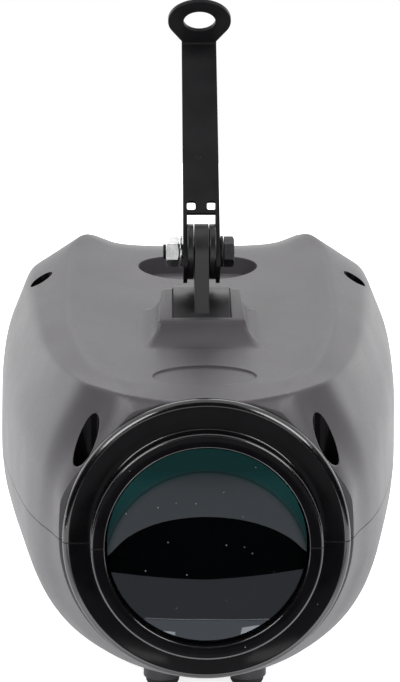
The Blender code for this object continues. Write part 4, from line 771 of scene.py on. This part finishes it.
def lens_gasket(finish):
    front, rear = lens_rim()
    outer = COLLAR_BORE + GROOVE_DEPTH - GAP
    slot, lip = outer - GASKET_WALL, COLLAR_BORE + GAP
    profile = (
        (outer, GROOVE_FRONT + GAP), (outer, GROOVE_REAR - GAP), (lip, GROOVE_REAR - GAP), (lip, rear + GAP),
        (slot, rear + GAP), (slot, front - GAP), (lip, front - GAP), (lip, GROOVE_FRONT + GAP),
    )
    piece("lens_gasket", turned(profile, segments=128), "housing", finish)


def block_top(depth):
    low, high = PEDESTAL_LIP[1] + BLOCK_RISE, PEDESTAL_CREST[1] + BLOCK_RISE
    share = min(max((depth - BLOCK_FRONT) / (BLOCK_REAR - 0.003 - BLOCK_FRONT), 0.0), 1.0)
    return low + (high - low) * sin(share * pi / 2)


def hinge_lug(finish):
    foot = PEDESTAL_UNDERSIDE - GAP
    steps = 28
    outline = [(BLOCK_FRONT, foot)]
    for k in range(steps + 1):
        depth = BLOCK_FRONT + (BLOCK_REAR - BLOCK_FRONT) * k / steps
        outline.append((depth, block_top(depth)))
    outline.append((BLOCK_REAR, foot))
    lug = temporary("lug", pulled(outline, -BLOCK_HALF, BLOCK_HALF, "X"))
    sunk = PEDESTAL_LIP[1] - 0.004
    outline = [(BLOCK_FRONT + 0.0016, sunk)]
    outline += arc((PIVOT_DEPTH, PIVOT_HEIGHT), LUG_EYE_RADIUS, 186, -6, 48)
    outline.append((BLOCK_REAR - 0.0002, sunk))
    carve(lug, pulled(outline, -LUG_THICKNESS / 2, LUG_THICKNESS / 2, "X"), "UNION")
    finish_piece(lug, "hinge_lug", "housing", finish)


def bend_strap(bm):
    """Folds the flat strap forward over its bend line, keeping its length along the middle."""
    for vert in bm.verts:
        run = vert.co.z - BEND_START
        if run <= 0:
            continue
        angle = min(run / BEND_LENGTH, 1.0) * pi / 2
        past = max(run - BEND_LENGTH, 0.0)
        reach = BEND_RADIUS + vert.co.y - STRAP_MIDDLE
        out, along = Vector((cos(angle), sin(angle))), Vector((-sin(angle), cos(angle)))
        place = Vector((STRAP_MIDDLE - BEND_RADIUS, BEND_START)) + out * reach + along * past
        vert.co.y, vert.co.z = place.x, place.y


def hanger_strap(finish):
    half, reach = STRAP_WIDTH / 2, EYE_REACH - BEND_RADIUS
    bend_end = BEND_START + BEND_LENGTH
    eye = bend_end + EYE_REACH - BEND_RADIUS
    turn = degrees(acos(EYE_RADIUS / hypot(half, reach)) - atan2(reach, half))
    right = [(half, FORK_BAR), (half, bend_end)]
    outline = right + arc((0.0, eye), EYE_RADIUS, turn, 180 - turn, 72)
    outline += [(-x, z) for x, z in reversed(right)]
    front = -STRAP_SETBACK - STRAP_THICKNESS
    bm = pulled(outline, front, front + STRAP_THICKNESS, "Y")
    for k in range(STRAP_BEND_STEPS + 1):
        geometry = bm.verts[:] + bm.edges[:] + bm.faces[:]
        level = BEND_START + BEND_LENGTH * k / STRAP_BEND_STEPS
        bmesh.ops.bisect_plane(bm, geom=geometry, plane_co=(0, 0, level), plane_no=(0, 0, 1), dist=1e-7)
    bend_strap(bm)
    outward(bm)
    strap = temporary("strap", bm)

    ears = bmesh.new()
    inner, corner = half - STRAP_THICKNESS, EAR_CORNER
    outline = [(front, FORK_TOP + 0.004), (front, -EAR_DROP + corner)]
    outline += arc((front + corner, -EAR_DROP + corner), corner, 180, 270, 8)[1:]
    outline += arc((EAR_REAR - corner, -EAR_DROP + corner), corner, 270, 360, 8)
    outline += arc((EAR_REAR - EAR_ROUND, EAR_ROUND), EAR_ROUND, 0, 60, 12)
    outline.append((front + STRAP_THICKNESS, FORK_TOP + 0.004))
    for side in (-1, 1):
        low, high = sorted((side * inner, side * half))
        prism(ears, outline, low, high, "X")
    carve(strap, ears, "UNION")

    holes = bmesh.new()
    spread = LUG_THICKNESS / 2 + (inner - LUG_THICKNESS / 2) / 2 - 0.0002
    size = (inner - LUG_THICKNESS / 2 + 0.0006, FORK_WINDOW)
    for side in (-1, 1):
        window = rounded_rectangle(size, 0.0008, (side * spread, FORK_TOP - FORK_WINDOW / 2))
        prism(holes, window, front - 0.01, front + 0.0025, "Y")
    before = front - 0.001
    dent = ((0.0, before), (DENT_RADIUS, before), (DENT_RADIUS, front), (0.0, front + 0.0004))
    lathe(holes, dent, "Y", DENT_SPOT, 32)
    carve(strap, holes, "DIFFERENCE")
    punch = rod(EYE_HOLE_RADIUS, STRAP_BEND_HEIGHT - 0.01, STRAP_BEND_HEIGHT + 0.01)
    carve(strap, turned(punch, "Z", (0.0, STRAP_MIDDLE - EYE_REACH, 0.0), 96), "DIFFERENCE")
    finish_piece(strap, "hanger_strap", "hanger", finish, HANGER, 15)


def hexagon(low, high, both_ends):
    """A hexagon across X with its corners turned off at the high end or at both ends."""
    corner = NUT_ACROSS_FLATS / 2 / cos(pi / 6)
    inner = NUT_ACROSS_FLATS / 2 * 0.97
    drop = (corner - inner) * tan(radians(30))
    profile = [(0.0, low), (inner, low), (corner + 0.0001, low + drop)]
    if not both_ends:
        profile = [(0.0, low), (corner * 1.1, low)]
    profile += [(corner + 0.0001, high - drop), (inner, high), (0.0, high)]
    obj = temporary("hexagon", pulled(arc((0.0, 0.0), corner, 0, 300, 5), low, high, "X"))
    carve(obj, turned(profile, "X", segments=96), "INTERSECT")
    return obj


def pivot_hardware(steel, zinc, plastic):
    lug_face, ear_out = LUG_THICKNESS / 2, STRAP_WIDTH / 2
    ear_in = ear_out - STRAP_THICKNESS
    washer_in = ear_out + GAP
    washer_out = washer_in + WASHER_THICKNESS
    seat = washer_out + GAP
    bore = BOLT_RADIUS + GAP

    def flat_ring(node, radius, near, far, edge, finish):
        low, high = sorted((near, far))
        profile = soft(box(bore, radius, low, high), edge)
        piece(node, turned(profile, "X", segments=72), "hanger", finish, HANGER)

    for side, name in ((-1, "left"), (1, "right")):
        near, far = side * (lug_face + GAP), side * (ear_in - 0.00003)
        flat_ring(f"friction_disc_{name}", DISC_RADIUS, near, far, 0.0003, plastic)
    flat_ring("pivot_washer_nut", WASHER_RADIUS, -washer_in, -washer_out, 0.0002, zinc)
    flat_ring("pivot_washer_head", WASHER_RADIUS, washer_in, washer_out, 0.0002, steel)
    nut = hexagon(-seat - NUT_HEIGHT, -seat, True)
    carve(nut, turned(rod(bore, -0.05, 0.0), "X"), "DIFFERENCE")
    finish_piece(nut, "pivot_nut", "hanger", zinc, HANGER, 25)
    bolt = hexagon(seat, seat + BOLT_HEAD_HEIGHT, False)
    end = -seat - NUT_HEIGHT - BOLT_OVERHANG
    profile = [(0.0, end), (BOLT_RADIUS - THREAD_HALF_PITCH, end)]
    level = end + THREAD_DEPTH
    while level < -seat + 0.001:
        profile += [(BOLT_RADIUS, level), (BOLT_RADIUS - THREAD_DEPTH, level + THREAD_HALF_PITCH)]
        level += 2 * THREAD_HALF_PITCH
    profile += [(BOLT_RADIUS, -seat + 0.002), (BOLT_RADIUS, seat + 0.001), (0.0, seat + 0.001)]
    carve(bolt, turned(profile, "X"), "UNION")
    finish_piece(bolt, "pivot_bolt", "hanger", steel, HANGER, 25)


def screw(node, seat, axis, centre, length, finish):
    """A pan head screw with a cross recess."""
    r, h, tip = SCREW_HEAD_RADIUS, SCREW_HEAD_HEIGHT, seat - length
    profile = [(0.0, tip), (SCREW_RADIUS * 0.6, tip), (SCREW_RADIUS, tip + 0.001)]
    profile += [(SCREW_RADIUS, seat), (r, seat), (r, seat + h * 0.35)]
    for k in range(1, 6):
        angle = k / 6 * pi / 2
        profile.append((r * cos(angle), seat + h * (0.35 + 0.65 * sin(angle))))
    profile.append((0.0, seat + h))
    head = temporary("screw", turned(profile, axis, centre, 48))
    x, y = centre[0], centre[1] if axis == "Z" else centre[2]
    for wide, tall in (RECESS, RECESS[::-1]):
        cross = box(x - wide / 2, x + wide / 2, y - tall / 2, y + tall / 2)
        carve(head, pulled(cross, seat + h * 0.35, seat + h + 0.002, axis), "DIFFERENCE")
    finish_piece(head, node, "housing", finish)


def screws(finish):
    for name, x, depth in four(WELLS):
        centre = (x, depth, 0.0)
        screw(f"housing_screw_{name}", WELL_FLOOR + GAP, "Z", centre, HOUSING_SCREW_LENGTH, finish)
    for place in ("upper", "lower"):
        for side in ("left", "right"):
            node = f"panel_screw_{place}_{side}"
            low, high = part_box(node)
            centre = ((low.x + high.x) / 2, 0.0, (low.z + high.z) / 2 - AXIS_HEIGHT)
            screw(node, PANEL_OUTER + GAP, "Y", centre, PANEL_SCREW_LENGTH, finish)


def feet(finish):
    bottom = -AXIS_HEIGHT
    seat = bottom + FOOT_HEIGHT - GAP
    profile = (
        (0.0, bottom), (FOOT_RADIUS - 0.0012, bottom), (FOOT_RADIUS - 0.0005, bottom + 0.0004),
        (FOOT_RADIUS - 0.0001, bottom + 0.0012), (FOOT_RADIUS, seat), (FOOT_PEG_RADIUS, seat),
        (FOOT_PEG_RADIUS, seat + FOOT_PEG_LENGTH), (0.0, seat + FOOT_PEG_LENGTH),
    )
    for name, x, depth in four(FEET):
        piece(f"foot_{name}", turned(profile, "Z", (x, depth, 0.0)), "housing", finish)


def knob(finish, mark):
    low = PANEL_OUTER + 2 * GAP + 0.0004
    high = low + KNOB_LENGTH
    x, z = KNOB_SPOT
    outline = []
    for k in range(KNOB_RIBS):
        for step in range(12):
            along = FULL_TURN * min(max((step / 12 - 0.5) / 0.5, 0.0), 1.0)
            dip = KNOB_RIB_DEPTH * (0.5 - 0.5 * cos(along))
            angle, radius = FULL_TURN * ((k + step / 12) / KNOB_RIBS), KNOB_RADIUS - dip
            outline.append((x + radius * cos(angle), z + radius * sin(angle)))
    bm = bmesh.new()
    verts = prism(bm, outline, low, high, "Y")
    cap = set(verts[len(outline):])
    edges = [e for e in bm.edges if all(v in cap for v in e.verts)]
    bmesh.ops.bevel(bm, geom=edges, offset=0.0007, segments=4, profile=0.5, affect="EDGES")
    outward(bm)
    shape = temporary("knob", bm)
    outline = box(x - POINTER_HALF, x + POINTER_HALF, z + POINTER_START, z + POINTER_END)
    low = high - POINTER_DEPTH
    carve(shape, pulled(outline, low, high + 0.01, "Y"), "DIFFERENCE")
    finish_piece(shape, "sensitivity_knob", "knob", finish)
    pointer = temporary("knob_pointer", pulled(outline, low, high - 0.0002, "Y"))
    pointer.data.transform(LIGHT)
    pointer.data.materials.append(mark)
    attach(pointer, "knob")


# Finishes


class Nodes:
    """Node helpers for a material or the world."""

    def __init__(self, owner, output):
        owner.use_nodes = True
        self.tree = owner.node_tree
        self.output = self.tree.nodes[output]

    def fill(self, socket, value):
        """Links a socket to another one, or gives it a number, a vector or a colour."""
        if isinstance(value, bpy.types.NodeSocket):
            self.tree.links.new(value, socket)
        else:
            socket.default_value = (*value, 1.0) if socket.type == "RGBA" else value

    def add(self, kind, inputs=None, **settings):
        node = self.tree.nodes.new(kind)
        for key, value in settings.items():
            setattr(node, key, value)
        for name, value in (inputs or {}).items():
            self.fill(node.inputs[name], value)
        return node

    def math(self, operation, *values):
        return self.add("ShaderNodeMath", dict(enumerate(values)), operation=operation).outputs[0]

    def surface(self, kind, *sources):
        """Ends the tree with a node that mixes or adds its sources."""
        self.fill(self.output.inputs["Surface"], self.add(kind, dict(enumerate(sources))).outputs[0])


class Finish(Nodes):
    """A material and its helpers. Sizes are in metres."""

    def __init__(self, name):
        self.material = bpy.data.materials.new(name)
        super().__init__(self.material, "Material Output")
        self.shader = self.tree.nodes["Principled BSDF"]
        self.place = self.add("ShaderNodeTexCoord").outputs["Object"]

    def set(self, **values):
        for name, value in values.items():
            self.fill(self.shader.inputs[name.replace("_", " ")], value)

    def noise(self, size, detail=3.0, roughness=0.5, stretch=(1.0, 1.0, 1.0)):
        """Noise whose cells are about as large as size."""
        place = self.add("ShaderNodeMapping", {"Vector": self.place, "Scale": stretch}).outputs["Vector"]
        inputs = {"Vector": place, "Scale": 1 / size, "Detail": detail, "Roughness": roughness}
        return self.add("ShaderNodeTexNoise", inputs).outputs["Fac"]

    def ramp(self, value, low, high, start, end):
        """The value from low to high turned into start to end, and held beyond."""
        inputs = {"Value": value, "From Min": low, "From Max": high, "To Min": start, "To Max": end}
        return self.add("ShaderNodeMapRange", inputs, clamp=True).outputs["Result"]

    def mix(self, factor, first, second):
        """Two colours mixed. They are the node's sockets 6 and 7, and the mix is its output 2."""
        return self.add("ShaderNodeMix", {0: factor, 6: first, 7: second}, data_type="RGBA").outputs[2]

    def patches(self, noise, first, second):
        """A colour that drifts from one to the other with the noise."""
        return self.mix(self.ramp(noise, 0.3, 0.7, 0.0, 1.0), first, second)

    def uneven(self, mottle, low, high, fine):
        """Roughness that follows the mottling, with a little of the fine noise."""
        little = self.ramp(fine, 0.35, 0.65, -0.02, 0.02)
        return self.math("ADD", self.ramp(mottle, 0.3, 0.7, low, high), little)

    def dust(self, size, radius, share):
        """Specks in a share of the cells of the given size."""
        cells = self.add("ShaderNodeTexVoronoi", {"Vector": self.place, "Scale": 1 / size}).outputs
        near = self.ramp(cells["Distance"], radius, radius + 0.015, 1.0, 0.0)
        draw = self.add("ShaderNodeSeparateColor", {"Color": cells["Color"]}).outputs[0]
        return self.math("MULTIPLY", near, self.math("GREATER_THAN", draw, 1.0 - share))

    def bumps(self, layers, edge=0.0):
        """Stacks bump layers of (height, depth, strength) over rounded edges."""
        under = {}
        if edge:
            under["Normal"] = self.add("ShaderNodeBevel", {"Radius": edge}, samples=6).outputs["Normal"]
        for height, depth, strength in layers:
            inputs = {"Height": height, "Distance": depth, "Strength": strength, **under}
            under["Normal"] = self.add("ShaderNodeBump", inputs).outputs["Normal"]
        self.set(**under)


def moulded_shell():
    """Satin black ABS with a fine grain."""
    f = Finish("shell_abs")
    mottle, fine = f.noise(0.018, 4.0, 0.6), f.noise(0.0011, 3.0, 0.6)
    grain, wave = f.noise(0.00035, 2.0, 0.5), f.noise(0.030, 2.0, 0.4)
    f.set(Base_Color=f.patches(mottle, (0.024, 0.0206, 0.0248), (0.032, 0.0278, 0.0328)))
    f.set(Roughness=f.uneven(mottle, 0.41, 0.47, fine), IOR=1.6, Sheen_Weight=0.16, Sheen_Roughness=0.35)
    f.bumps(((wave, 0.0006, 0.10), (grain, 0.00003, 0.16)), edge=0.0006)
    return f.material


def ring_black_with_painted_shine(name, painted_shine):
    """The jet black of the nose ring and collar, moulded smoother than the skin, with specks of dust. Its
    reflection level is painted light: set low, it paints shade on the ring's flat faces and in the screw
    wells; set high, it paints a highlight on the rounded edges.
    """
    f = Finish(name)
    mottle, fine = f.noise(0.010, 3.0, 0.6), f.noise(0.0008, 3.0, 0.6)
    skin = f.patches(mottle, (0.0024, 0.0022, 0.0026), (0.0040, 0.0036, 0.0042))
    f.set(Base_Color=f.mix(f.dust(0.0042, 0.035, 0.2), skin, (0.30, 0.30, 0.30)), IOR=1.5)
    # The reflection level is painted: low for painted shade, high for a painted highlight.
    f.set(Roughness=f.uneven(mottle, 0.12, 0.16, fine), Specular_IOR_Level=painted_shine)
    f.bumps(((fine, 0.00002, 0.12),), edge=0.0003)
    return f.material


def plain_plastic(name, dark, light, roughness, grain_size=0.0006, edge=0.0003):
    f = Finish(name)
    mottle, grain = f.noise(0.006, 3.0, 0.55), f.noise(grain_size, 2.0, 0.5)
    f.set(Base_Color=f.patches(mottle, dark, light), IOR=1.5)
    f.set(Roughness=f.ramp(mottle, 0.3, 0.7, roughness - 0.04, roughness + 0.05))
    f.bumps(((grain, 0.00004, 0.25),), edge=edge)
    return f.material


def glass_with_painted_reflection():
    """Dark lens glass with a painted reflection: the tint of its reflection is blue-grey inside a low circle
    and teal outside it, brighter towards the top, with a thin darker line on the circle. Dust lies on it.
    """
    f = Finish("lens_glass_painted_reflection")
    x, _, z = f.add("ShaderNodeSeparateXYZ", {0: f.place}).outputs
    height = f.math("SUBTRACT", z, AXIS_HEIGHT - 0.0085)
    radius = f.math("SQRT", f.math("ADD", f.math("MULTIPLY", x, x), f.math("MULTIPLY", height, height)))
    # The reflection's tint is painted by place: blue-grey inside a low circle, teal outside it and brighter
    # towards the top, with a darker line on the circle.
    outer = f.ramp(radius, 0.0322, 0.0352, 0.0, 1.0)
    painted_teal_reflection = f.mix(f.ramp(height, 0.006, 0.030, 0.0, 1.0), (0.04, 0.20, 0.20), (0.12, 0.54, 0.54))
    painted_reflection_tint = f.mix(outer, (0.60, 0.66, 0.72), painted_teal_reflection)
    rim = f.math("ABSOLUTE", f.math("SUBTRACT", radius, 0.0341))
    painted_reflection_tint = f.mix(f.ramp(rim, 0.0001, 0.0006, 0.55, 0.0), painted_reflection_tint, (0.05, 0.12, 0.12))
    f.set(Base_Color=(0.005, 0.006, 0.007), Transmission_Weight=0.85, IOR=1.52, Specular_Tint=painted_reflection_tint)
    dust, film = f.dust(0.0032, 0.045, 0.38), f.noise(0.009, 4.0, 0.6)
    f.set(Roughness=f.math("ADD", f.ramp(film, 0.45, 0.8, 0.0, 0.02), f.math("MULTIPLY", dust, 0.4)))
    coat = f.add("ShaderNodeBsdfDiffuse", {"Color": (0.32, 0.34, 0.35)})
    f.surface("ShaderNodeMixShader", f.math("MULTIPLY", dust, 0.8), f.shader.outputs[0], coat.outputs[0])
    return f.material


def powder_coat():
    """Black powder coat with its orange peel."""
    f = Finish("steel_powder_coat")
    mottle, peel = f.noise(0.012, 3.0, 0.5), f.noise(0.0009, 2.0, 0.4)
    f.set(Base_Color=f.patches(mottle, (0.0065, 0.006, 0.0067), (0.0095, 0.0088, 0.0097)))
    f.set(Roughness=f.ramp(mottle, 0.3, 0.7, 0.36, 0.46), IOR=1.5, Specular_IOR_Level=0.15)
    f.bumps(((peel, 0.00004, 0.3),), edge=0.0004)
    return f.material


def metal(name, dark, light, low, high, stretch=(1.0, 1.0, 1.0), edge=0.0002):
    f = Finish(name)
    drawn, stain = f.noise(0.0012, 4.0, 0.65, stretch), f.noise(0.004, 3.0, 0.6)
    f.set(Base_Color=f.patches(stain, dark, light), Metallic=1.0)
    f.set(Roughness=f.ramp(drawn, 0.3, 0.7, low, high))
    f.bumps(((drawn, 0.00002, 0.2),), edge=edge)
    return f.material


def circuit_board():
    f = Finish("circuit_board")
    tracks = f.noise(0.004, 1.0, 0.4, (1.0, 1.0, 3.0))
    f.set(Base_Color=f.mix(f.ramp(tracks, 0.48, 0.52, 0.0, 1.0), (0.008, 0.09, 0.035), (0.012, 0.14, 0.05)))
    f.set(Roughness=f.ramp(tracks, 0.4, 0.6, 0.3, 0.42), IOR=1.5)
    f.bumps(((tracks, 0.00003, 0.3),), edge=0.0001)
    return f.material


def winding():
    f = Finish("transformer_winding")
    inputs = {"Vector": f.place, "Scale": 700.0}
    turns = f.add("ShaderNodeTexWave", inputs, wave_type="BANDS", bands_direction="Z").outputs["Fac"]
    f.set(Base_Color=f.mix(turns, (0.32, 0.14, 0.04), (0.55, 0.3, 0.1)), Roughness=0.35)
    f.bumps(((turns, 0.0001, 0.5),))
    return f.material


def mottled(name, size, span, dark, light, rough, ior):
    """A plain skin whose colour and roughness follow one noise."""
    f = Finish(name)
    noise = f.noise(size, 2.0, 0.5)
    f.set(Base_Color=f.mix(f.ramp(noise, *span, 0.0, 1.0), dark, light), IOR=ior)
    f.set(Roughness=f.ramp(noise, *span, *rough))
    return f.material


# Studio

# Name, place, direction of the long side, size and power of each lamp.
SOFTBOXES = (
    ("left_softbox", (-0.85, -0.70, 0.95), (-0.54, 0.11, -0.40), (0.75, 0.50), 7.5),
    ("right_softbox", (0.85, -0.70, 0.95), (0.54, 0.11, -0.40), (0.75, 0.50), 7.5),
    ("left_panel", (-1.05, 1.05, 0.45), (1.0, 1.0, 0.0), (1.00, 0.80), 2.5),
    ("right_panel", (1.05, 1.05, 0.45), (1.0, -1.0, 0.0), (1.00, 0.80), 2.5),
    ("rear_softbox", (0.0, 1.00, 1.20), (1.0, 0.0, 0.0), (1.40, 0.50), 4.5),
)
LAMP_AIM = Vector((0.0, 0.0, 0.1))


def studio():
    """White surroundings, soft lamps round the light and a pale floor that keeps the shadow."""
    world = bpy.data.worlds.new("studio")
    bpy.context.scene.world = world
    sky = Nodes(world, "World Output")
    grey = sky.tree.nodes["Background"]
    sky.fill(grey.inputs["Color"], (0.92, 0.92, 0.93))
    sky.fill(grey.inputs["Strength"], 1.0)
    white = sky.add("ShaderNodeBackground", {"Color": (1.0, 1.0, 1.0)})
    rays = sky.add("ShaderNodeLightPath").outputs
    seen = sky.math("MAXIMUM", rays["Is Camera Ray"], rays["Is Transmission Ray"])
    seen = sky.math("MAXIMUM", seen, rays["Is Glossy Ray"])
    sky.surface("ShaderNodeMixShader", seen, grey.outputs[0], white.outputs[0])

    floor_bm = bmesh.new()
    bmesh.ops.create_circle(floor_bm, cap_ends=True, segments=96, radius=3.0)
    floor = temporary("floor", floor_bm)
    paper = Finish("floor_paper")
    paper.set(Base_Color=(0.86, 0.86, 0.87), Roughness=0.9, Specular_IOR_Level=0.1)
    rays = paper.add("ShaderNodeLightPath").outputs
    mirrored = paper.math("MAXIMUM", rays["Is Glossy Ray"], rays["Is Transmission Ray"])
    seen = paper.math("MULTIPLY", rays["Is Camera Ray"], 0.8)
    strength = paper.math("ADD", seen, paper.math("MULTIPLY", mirrored, 0.3))
    glow = paper.add("ShaderNodeEmission", {"Color": (1.0, 1.0, 1.0), "Strength": strength})
    paper.surface("ShaderNodeAddShader", paper.shader.outputs[0], glow.outputs[0])
    floor.data.materials.append(paper.material)

    for name, place, long_side, size, energy in SOFTBOXES:
        lamp = bpy.data.lights.new(name, "AREA")
        lamp.shape = "RECTANGLE"
        lamp.size, lamp.size_y = size
        lamp.energy = energy
        softbox = bpy.data.objects.new(name, lamp)
        back = (Vector(place) - LAMP_AIM).normalized()
        upward = back.cross(Vector(long_side)).normalized()
        turn = Matrix((upward.cross(back), upward, back)).transposed().to_4x4()
        softbox.matrix_world = Matrix.Translation(place) @ turn
        bpy.context.scene.collection.objects.link(softbox)


def hidden_card(name, corners, strength=0.0, colour=(1.0, 1.0, 1.0)):
    """A flat card that only reflections show. Its corners are in millimetres."""
    bm = bmesh.new()
    bm.faces.new([bm.verts.new(corner) for corner in millimetres(*corners)])
    card = temporary(name, bm)
    paint = Finish(name)
    paint.set(Base_Color=(0.0, 0.0, 0.0), Roughness=1.0, Specular_IOR_Level=0.0)
    if strength:
        paint.set(Emission_Color=colour, Emission_Strength=strength)
    card.data.materials.append(paint.material)
    card.visible_camera = card.visible_diffuse = card.visible_shadow = card.visible_transmission = False


def flat_card(name, outline, height, strength=0.0, colour=(1.0, 1.0, 1.0)):
    hidden_card(name, [(x, y, height) for x, y in outline], strength, colour)


def cards():
    """Black cards keep the nose ring and the lens deep. Bright ones glint low in the glass."""
    outline = [(6 + 92 * x, -300 + 177 * y) for x, y in arc((0.0, 0.0), 1.0, 180, 360, 60)]
    flat_card("black_card", outline + [(94, -224), (2.7, -214.3), (-84, -221)], 1.2)
    edge = ((-32.1, -156.1), (1.4, -156.8), (35.2, -153.6))
    grey = ((-200, -223), (200, -223), (200, -153.6), *reversed(edge), (-200, -156.1))
    flat_card("grey_card", grey, 0.8, 0.9, (0.98, 0.93, 1.0))
    line = [(x, y - 0.3) for x, y in edge] + [(x, y + 0.4) for x, y in reversed(edge)]
    flat_card("bright_line", line, 1.4, 5.0)
    near = ((-90, -156.1), *edge, (90, -153.6), (90, -106), (-90, -106))
    flat_card("near_card", near, 0.6, 2.2, (0.95, 0.97, 1.0))
    patch = ((19.1, -147.4), (37.7, -150.4), (42, -138), (28.1, -130), (15.6, -134))
    flat_card("bright_patch", patch, 1.2, 9.0)
    patch = ((-33, -147), (-14.7, -144), (-14, -134), (-29, -133))
    flat_card("small_patch", patch, 1.2, 9.0)
    hidden_card("front_flag", ((-550, -900, 440), (550, -900, 440), (450, -550, 1600), (-450, -550, 1600)))
    for side, x in (("left", -400), ("right", 400)):
        hidden_card(f"{side}_flag", ((x, -950, -20), (x, -20, -20), (x, -60, 300), (x, -950, 300)))


def camera():
    data = bpy.data.cameras.new("camera")
    data.sensor_width = 36.0
    data.lens = 85.5
    obj = bpy.data.objects.new("camera", data)
    obj.location = (-0.013, -BODY_LENGTH / 2 - 0.513, AXIS_HEIGHT + 0.157)
    obj.rotation_euler = (radians(80.3), 0.0, radians(-1.18))
    bpy.context.scene.collection.objects.link(obj)
    bpy.context.scene.camera = obj


# Scene

plastic = plain_plastic("black_plastic", (0.012, 0.012, 0.013), (0.02, 0.02, 0.021), 0.42)
rubber = plain_plastic("rubber", (0.012, 0.012, 0.012), (0.02, 0.02, 0.02), 0.75, 0.0008)
black_inside = plain_plastic("tube_black", (0.004, 0.004, 0.004), (0.006, 0.006, 0.006), 0.7)
steel = powder_coat()
screw_black = metal("screw_black", (0.03, 0.03, 0.032), (0.06, 0.06, 0.062), 0.35, 0.5)
zinc = metal("zinc_plate", (0.42, 0.43, 0.44), (0.62, 0.62, 0.60), 0.16, 0.32)
aluminium = metal("aluminium", (0.6, 0.6, 0.62), (0.72, 0.72, 0.74), 0.28, 0.42, (1.0, 1.0, 0.1))
mark = plain_plastic("mark_white", (0.7, 0.7, 0.68), (0.78, 0.78, 0.77), 0.4)
board = circuit_board()
yellow, cream = (0.62, 0.55, 0.18), (0.75, 0.72, 0.5)
blue, pale_blue = (0.012, 0.014, 0.04), (0.02, 0.024, 0.06)
emitters = mottled("led_emitters", 0.0012, (0.4, 0.6), yellow, cream, (0.15, 0.3), 1.45)
sleeve = mottled("capacitor_sleeve", 0.003, (0.3, 0.7), blue, pale_blue, (0.28, 0.4), 1.5)

# The skin, then the ring's black with its reflection painted down as shade, then the same black with its
# reflection painted up as a highlight on the rounded edges.
shell_finishes = (moulded_shell(), ring_black_with_painted_shine("ring_black_painted_shade", 0.05), ring_black_with_painted_shine("ring_edge_painted_highlight", 0.90))
upper_shell(*shell_finishes)
lower_shell(*shell_finishes)
front_lens(glass_with_painted_reflection())
lens_gasket(rubber)
hinge_lug(plain_plastic("lug_abs", (0.006, 0.0054, 0.0062), (0.010, 0.009, 0.0102), 0.36, 0.0005, 0.0004))
hanger_strap(steel)
# The friction discs are black. They are made darker than the other black plastic as painted shade in the gap
# between the ears and the lug.
discs_black_and_painted_shade = plain_plastic("discs_black_and_painted_shade", (0.004, 0.004, 0.0042), (0.007, 0.007, 0.0072), 0.32)
pivot_hardware(screw_black, zinc, discs_black_and_painted_shade)
screws(screw_black)
feet(rubber)
knob(plastic, mark)

# Nodes that keep their CAD shape
for finish, kept in (
    (black_inside, ("light_tube",)),
    (plastic, ("optic_carrier", "rear_panel", "mains_inlet", "power_switch_bezel", "power_rocker")),
    (board, ("led_board", "power_board", "control_board")),
    (emitters, ("led_array",)),
    (winding(), ("transformer",)),
    (sleeve, ("mains_capacitor",)),
    (aluminium, ("heat_sink", "rectifier_heat_tab", "microphone", "sensitivity_pot", "pot_shaft")),
    (zinc, [name for name in nodes if "screw" in name and not name.startswith(("housing", "panel"))]),
):
    for name in kept:
        nodes[name].data.materials.clear()
        nodes[name].data.materials.append(finish)

studio()
cards()
camera()
bpy.context.scene.view_settings.view_transform = "Standard"
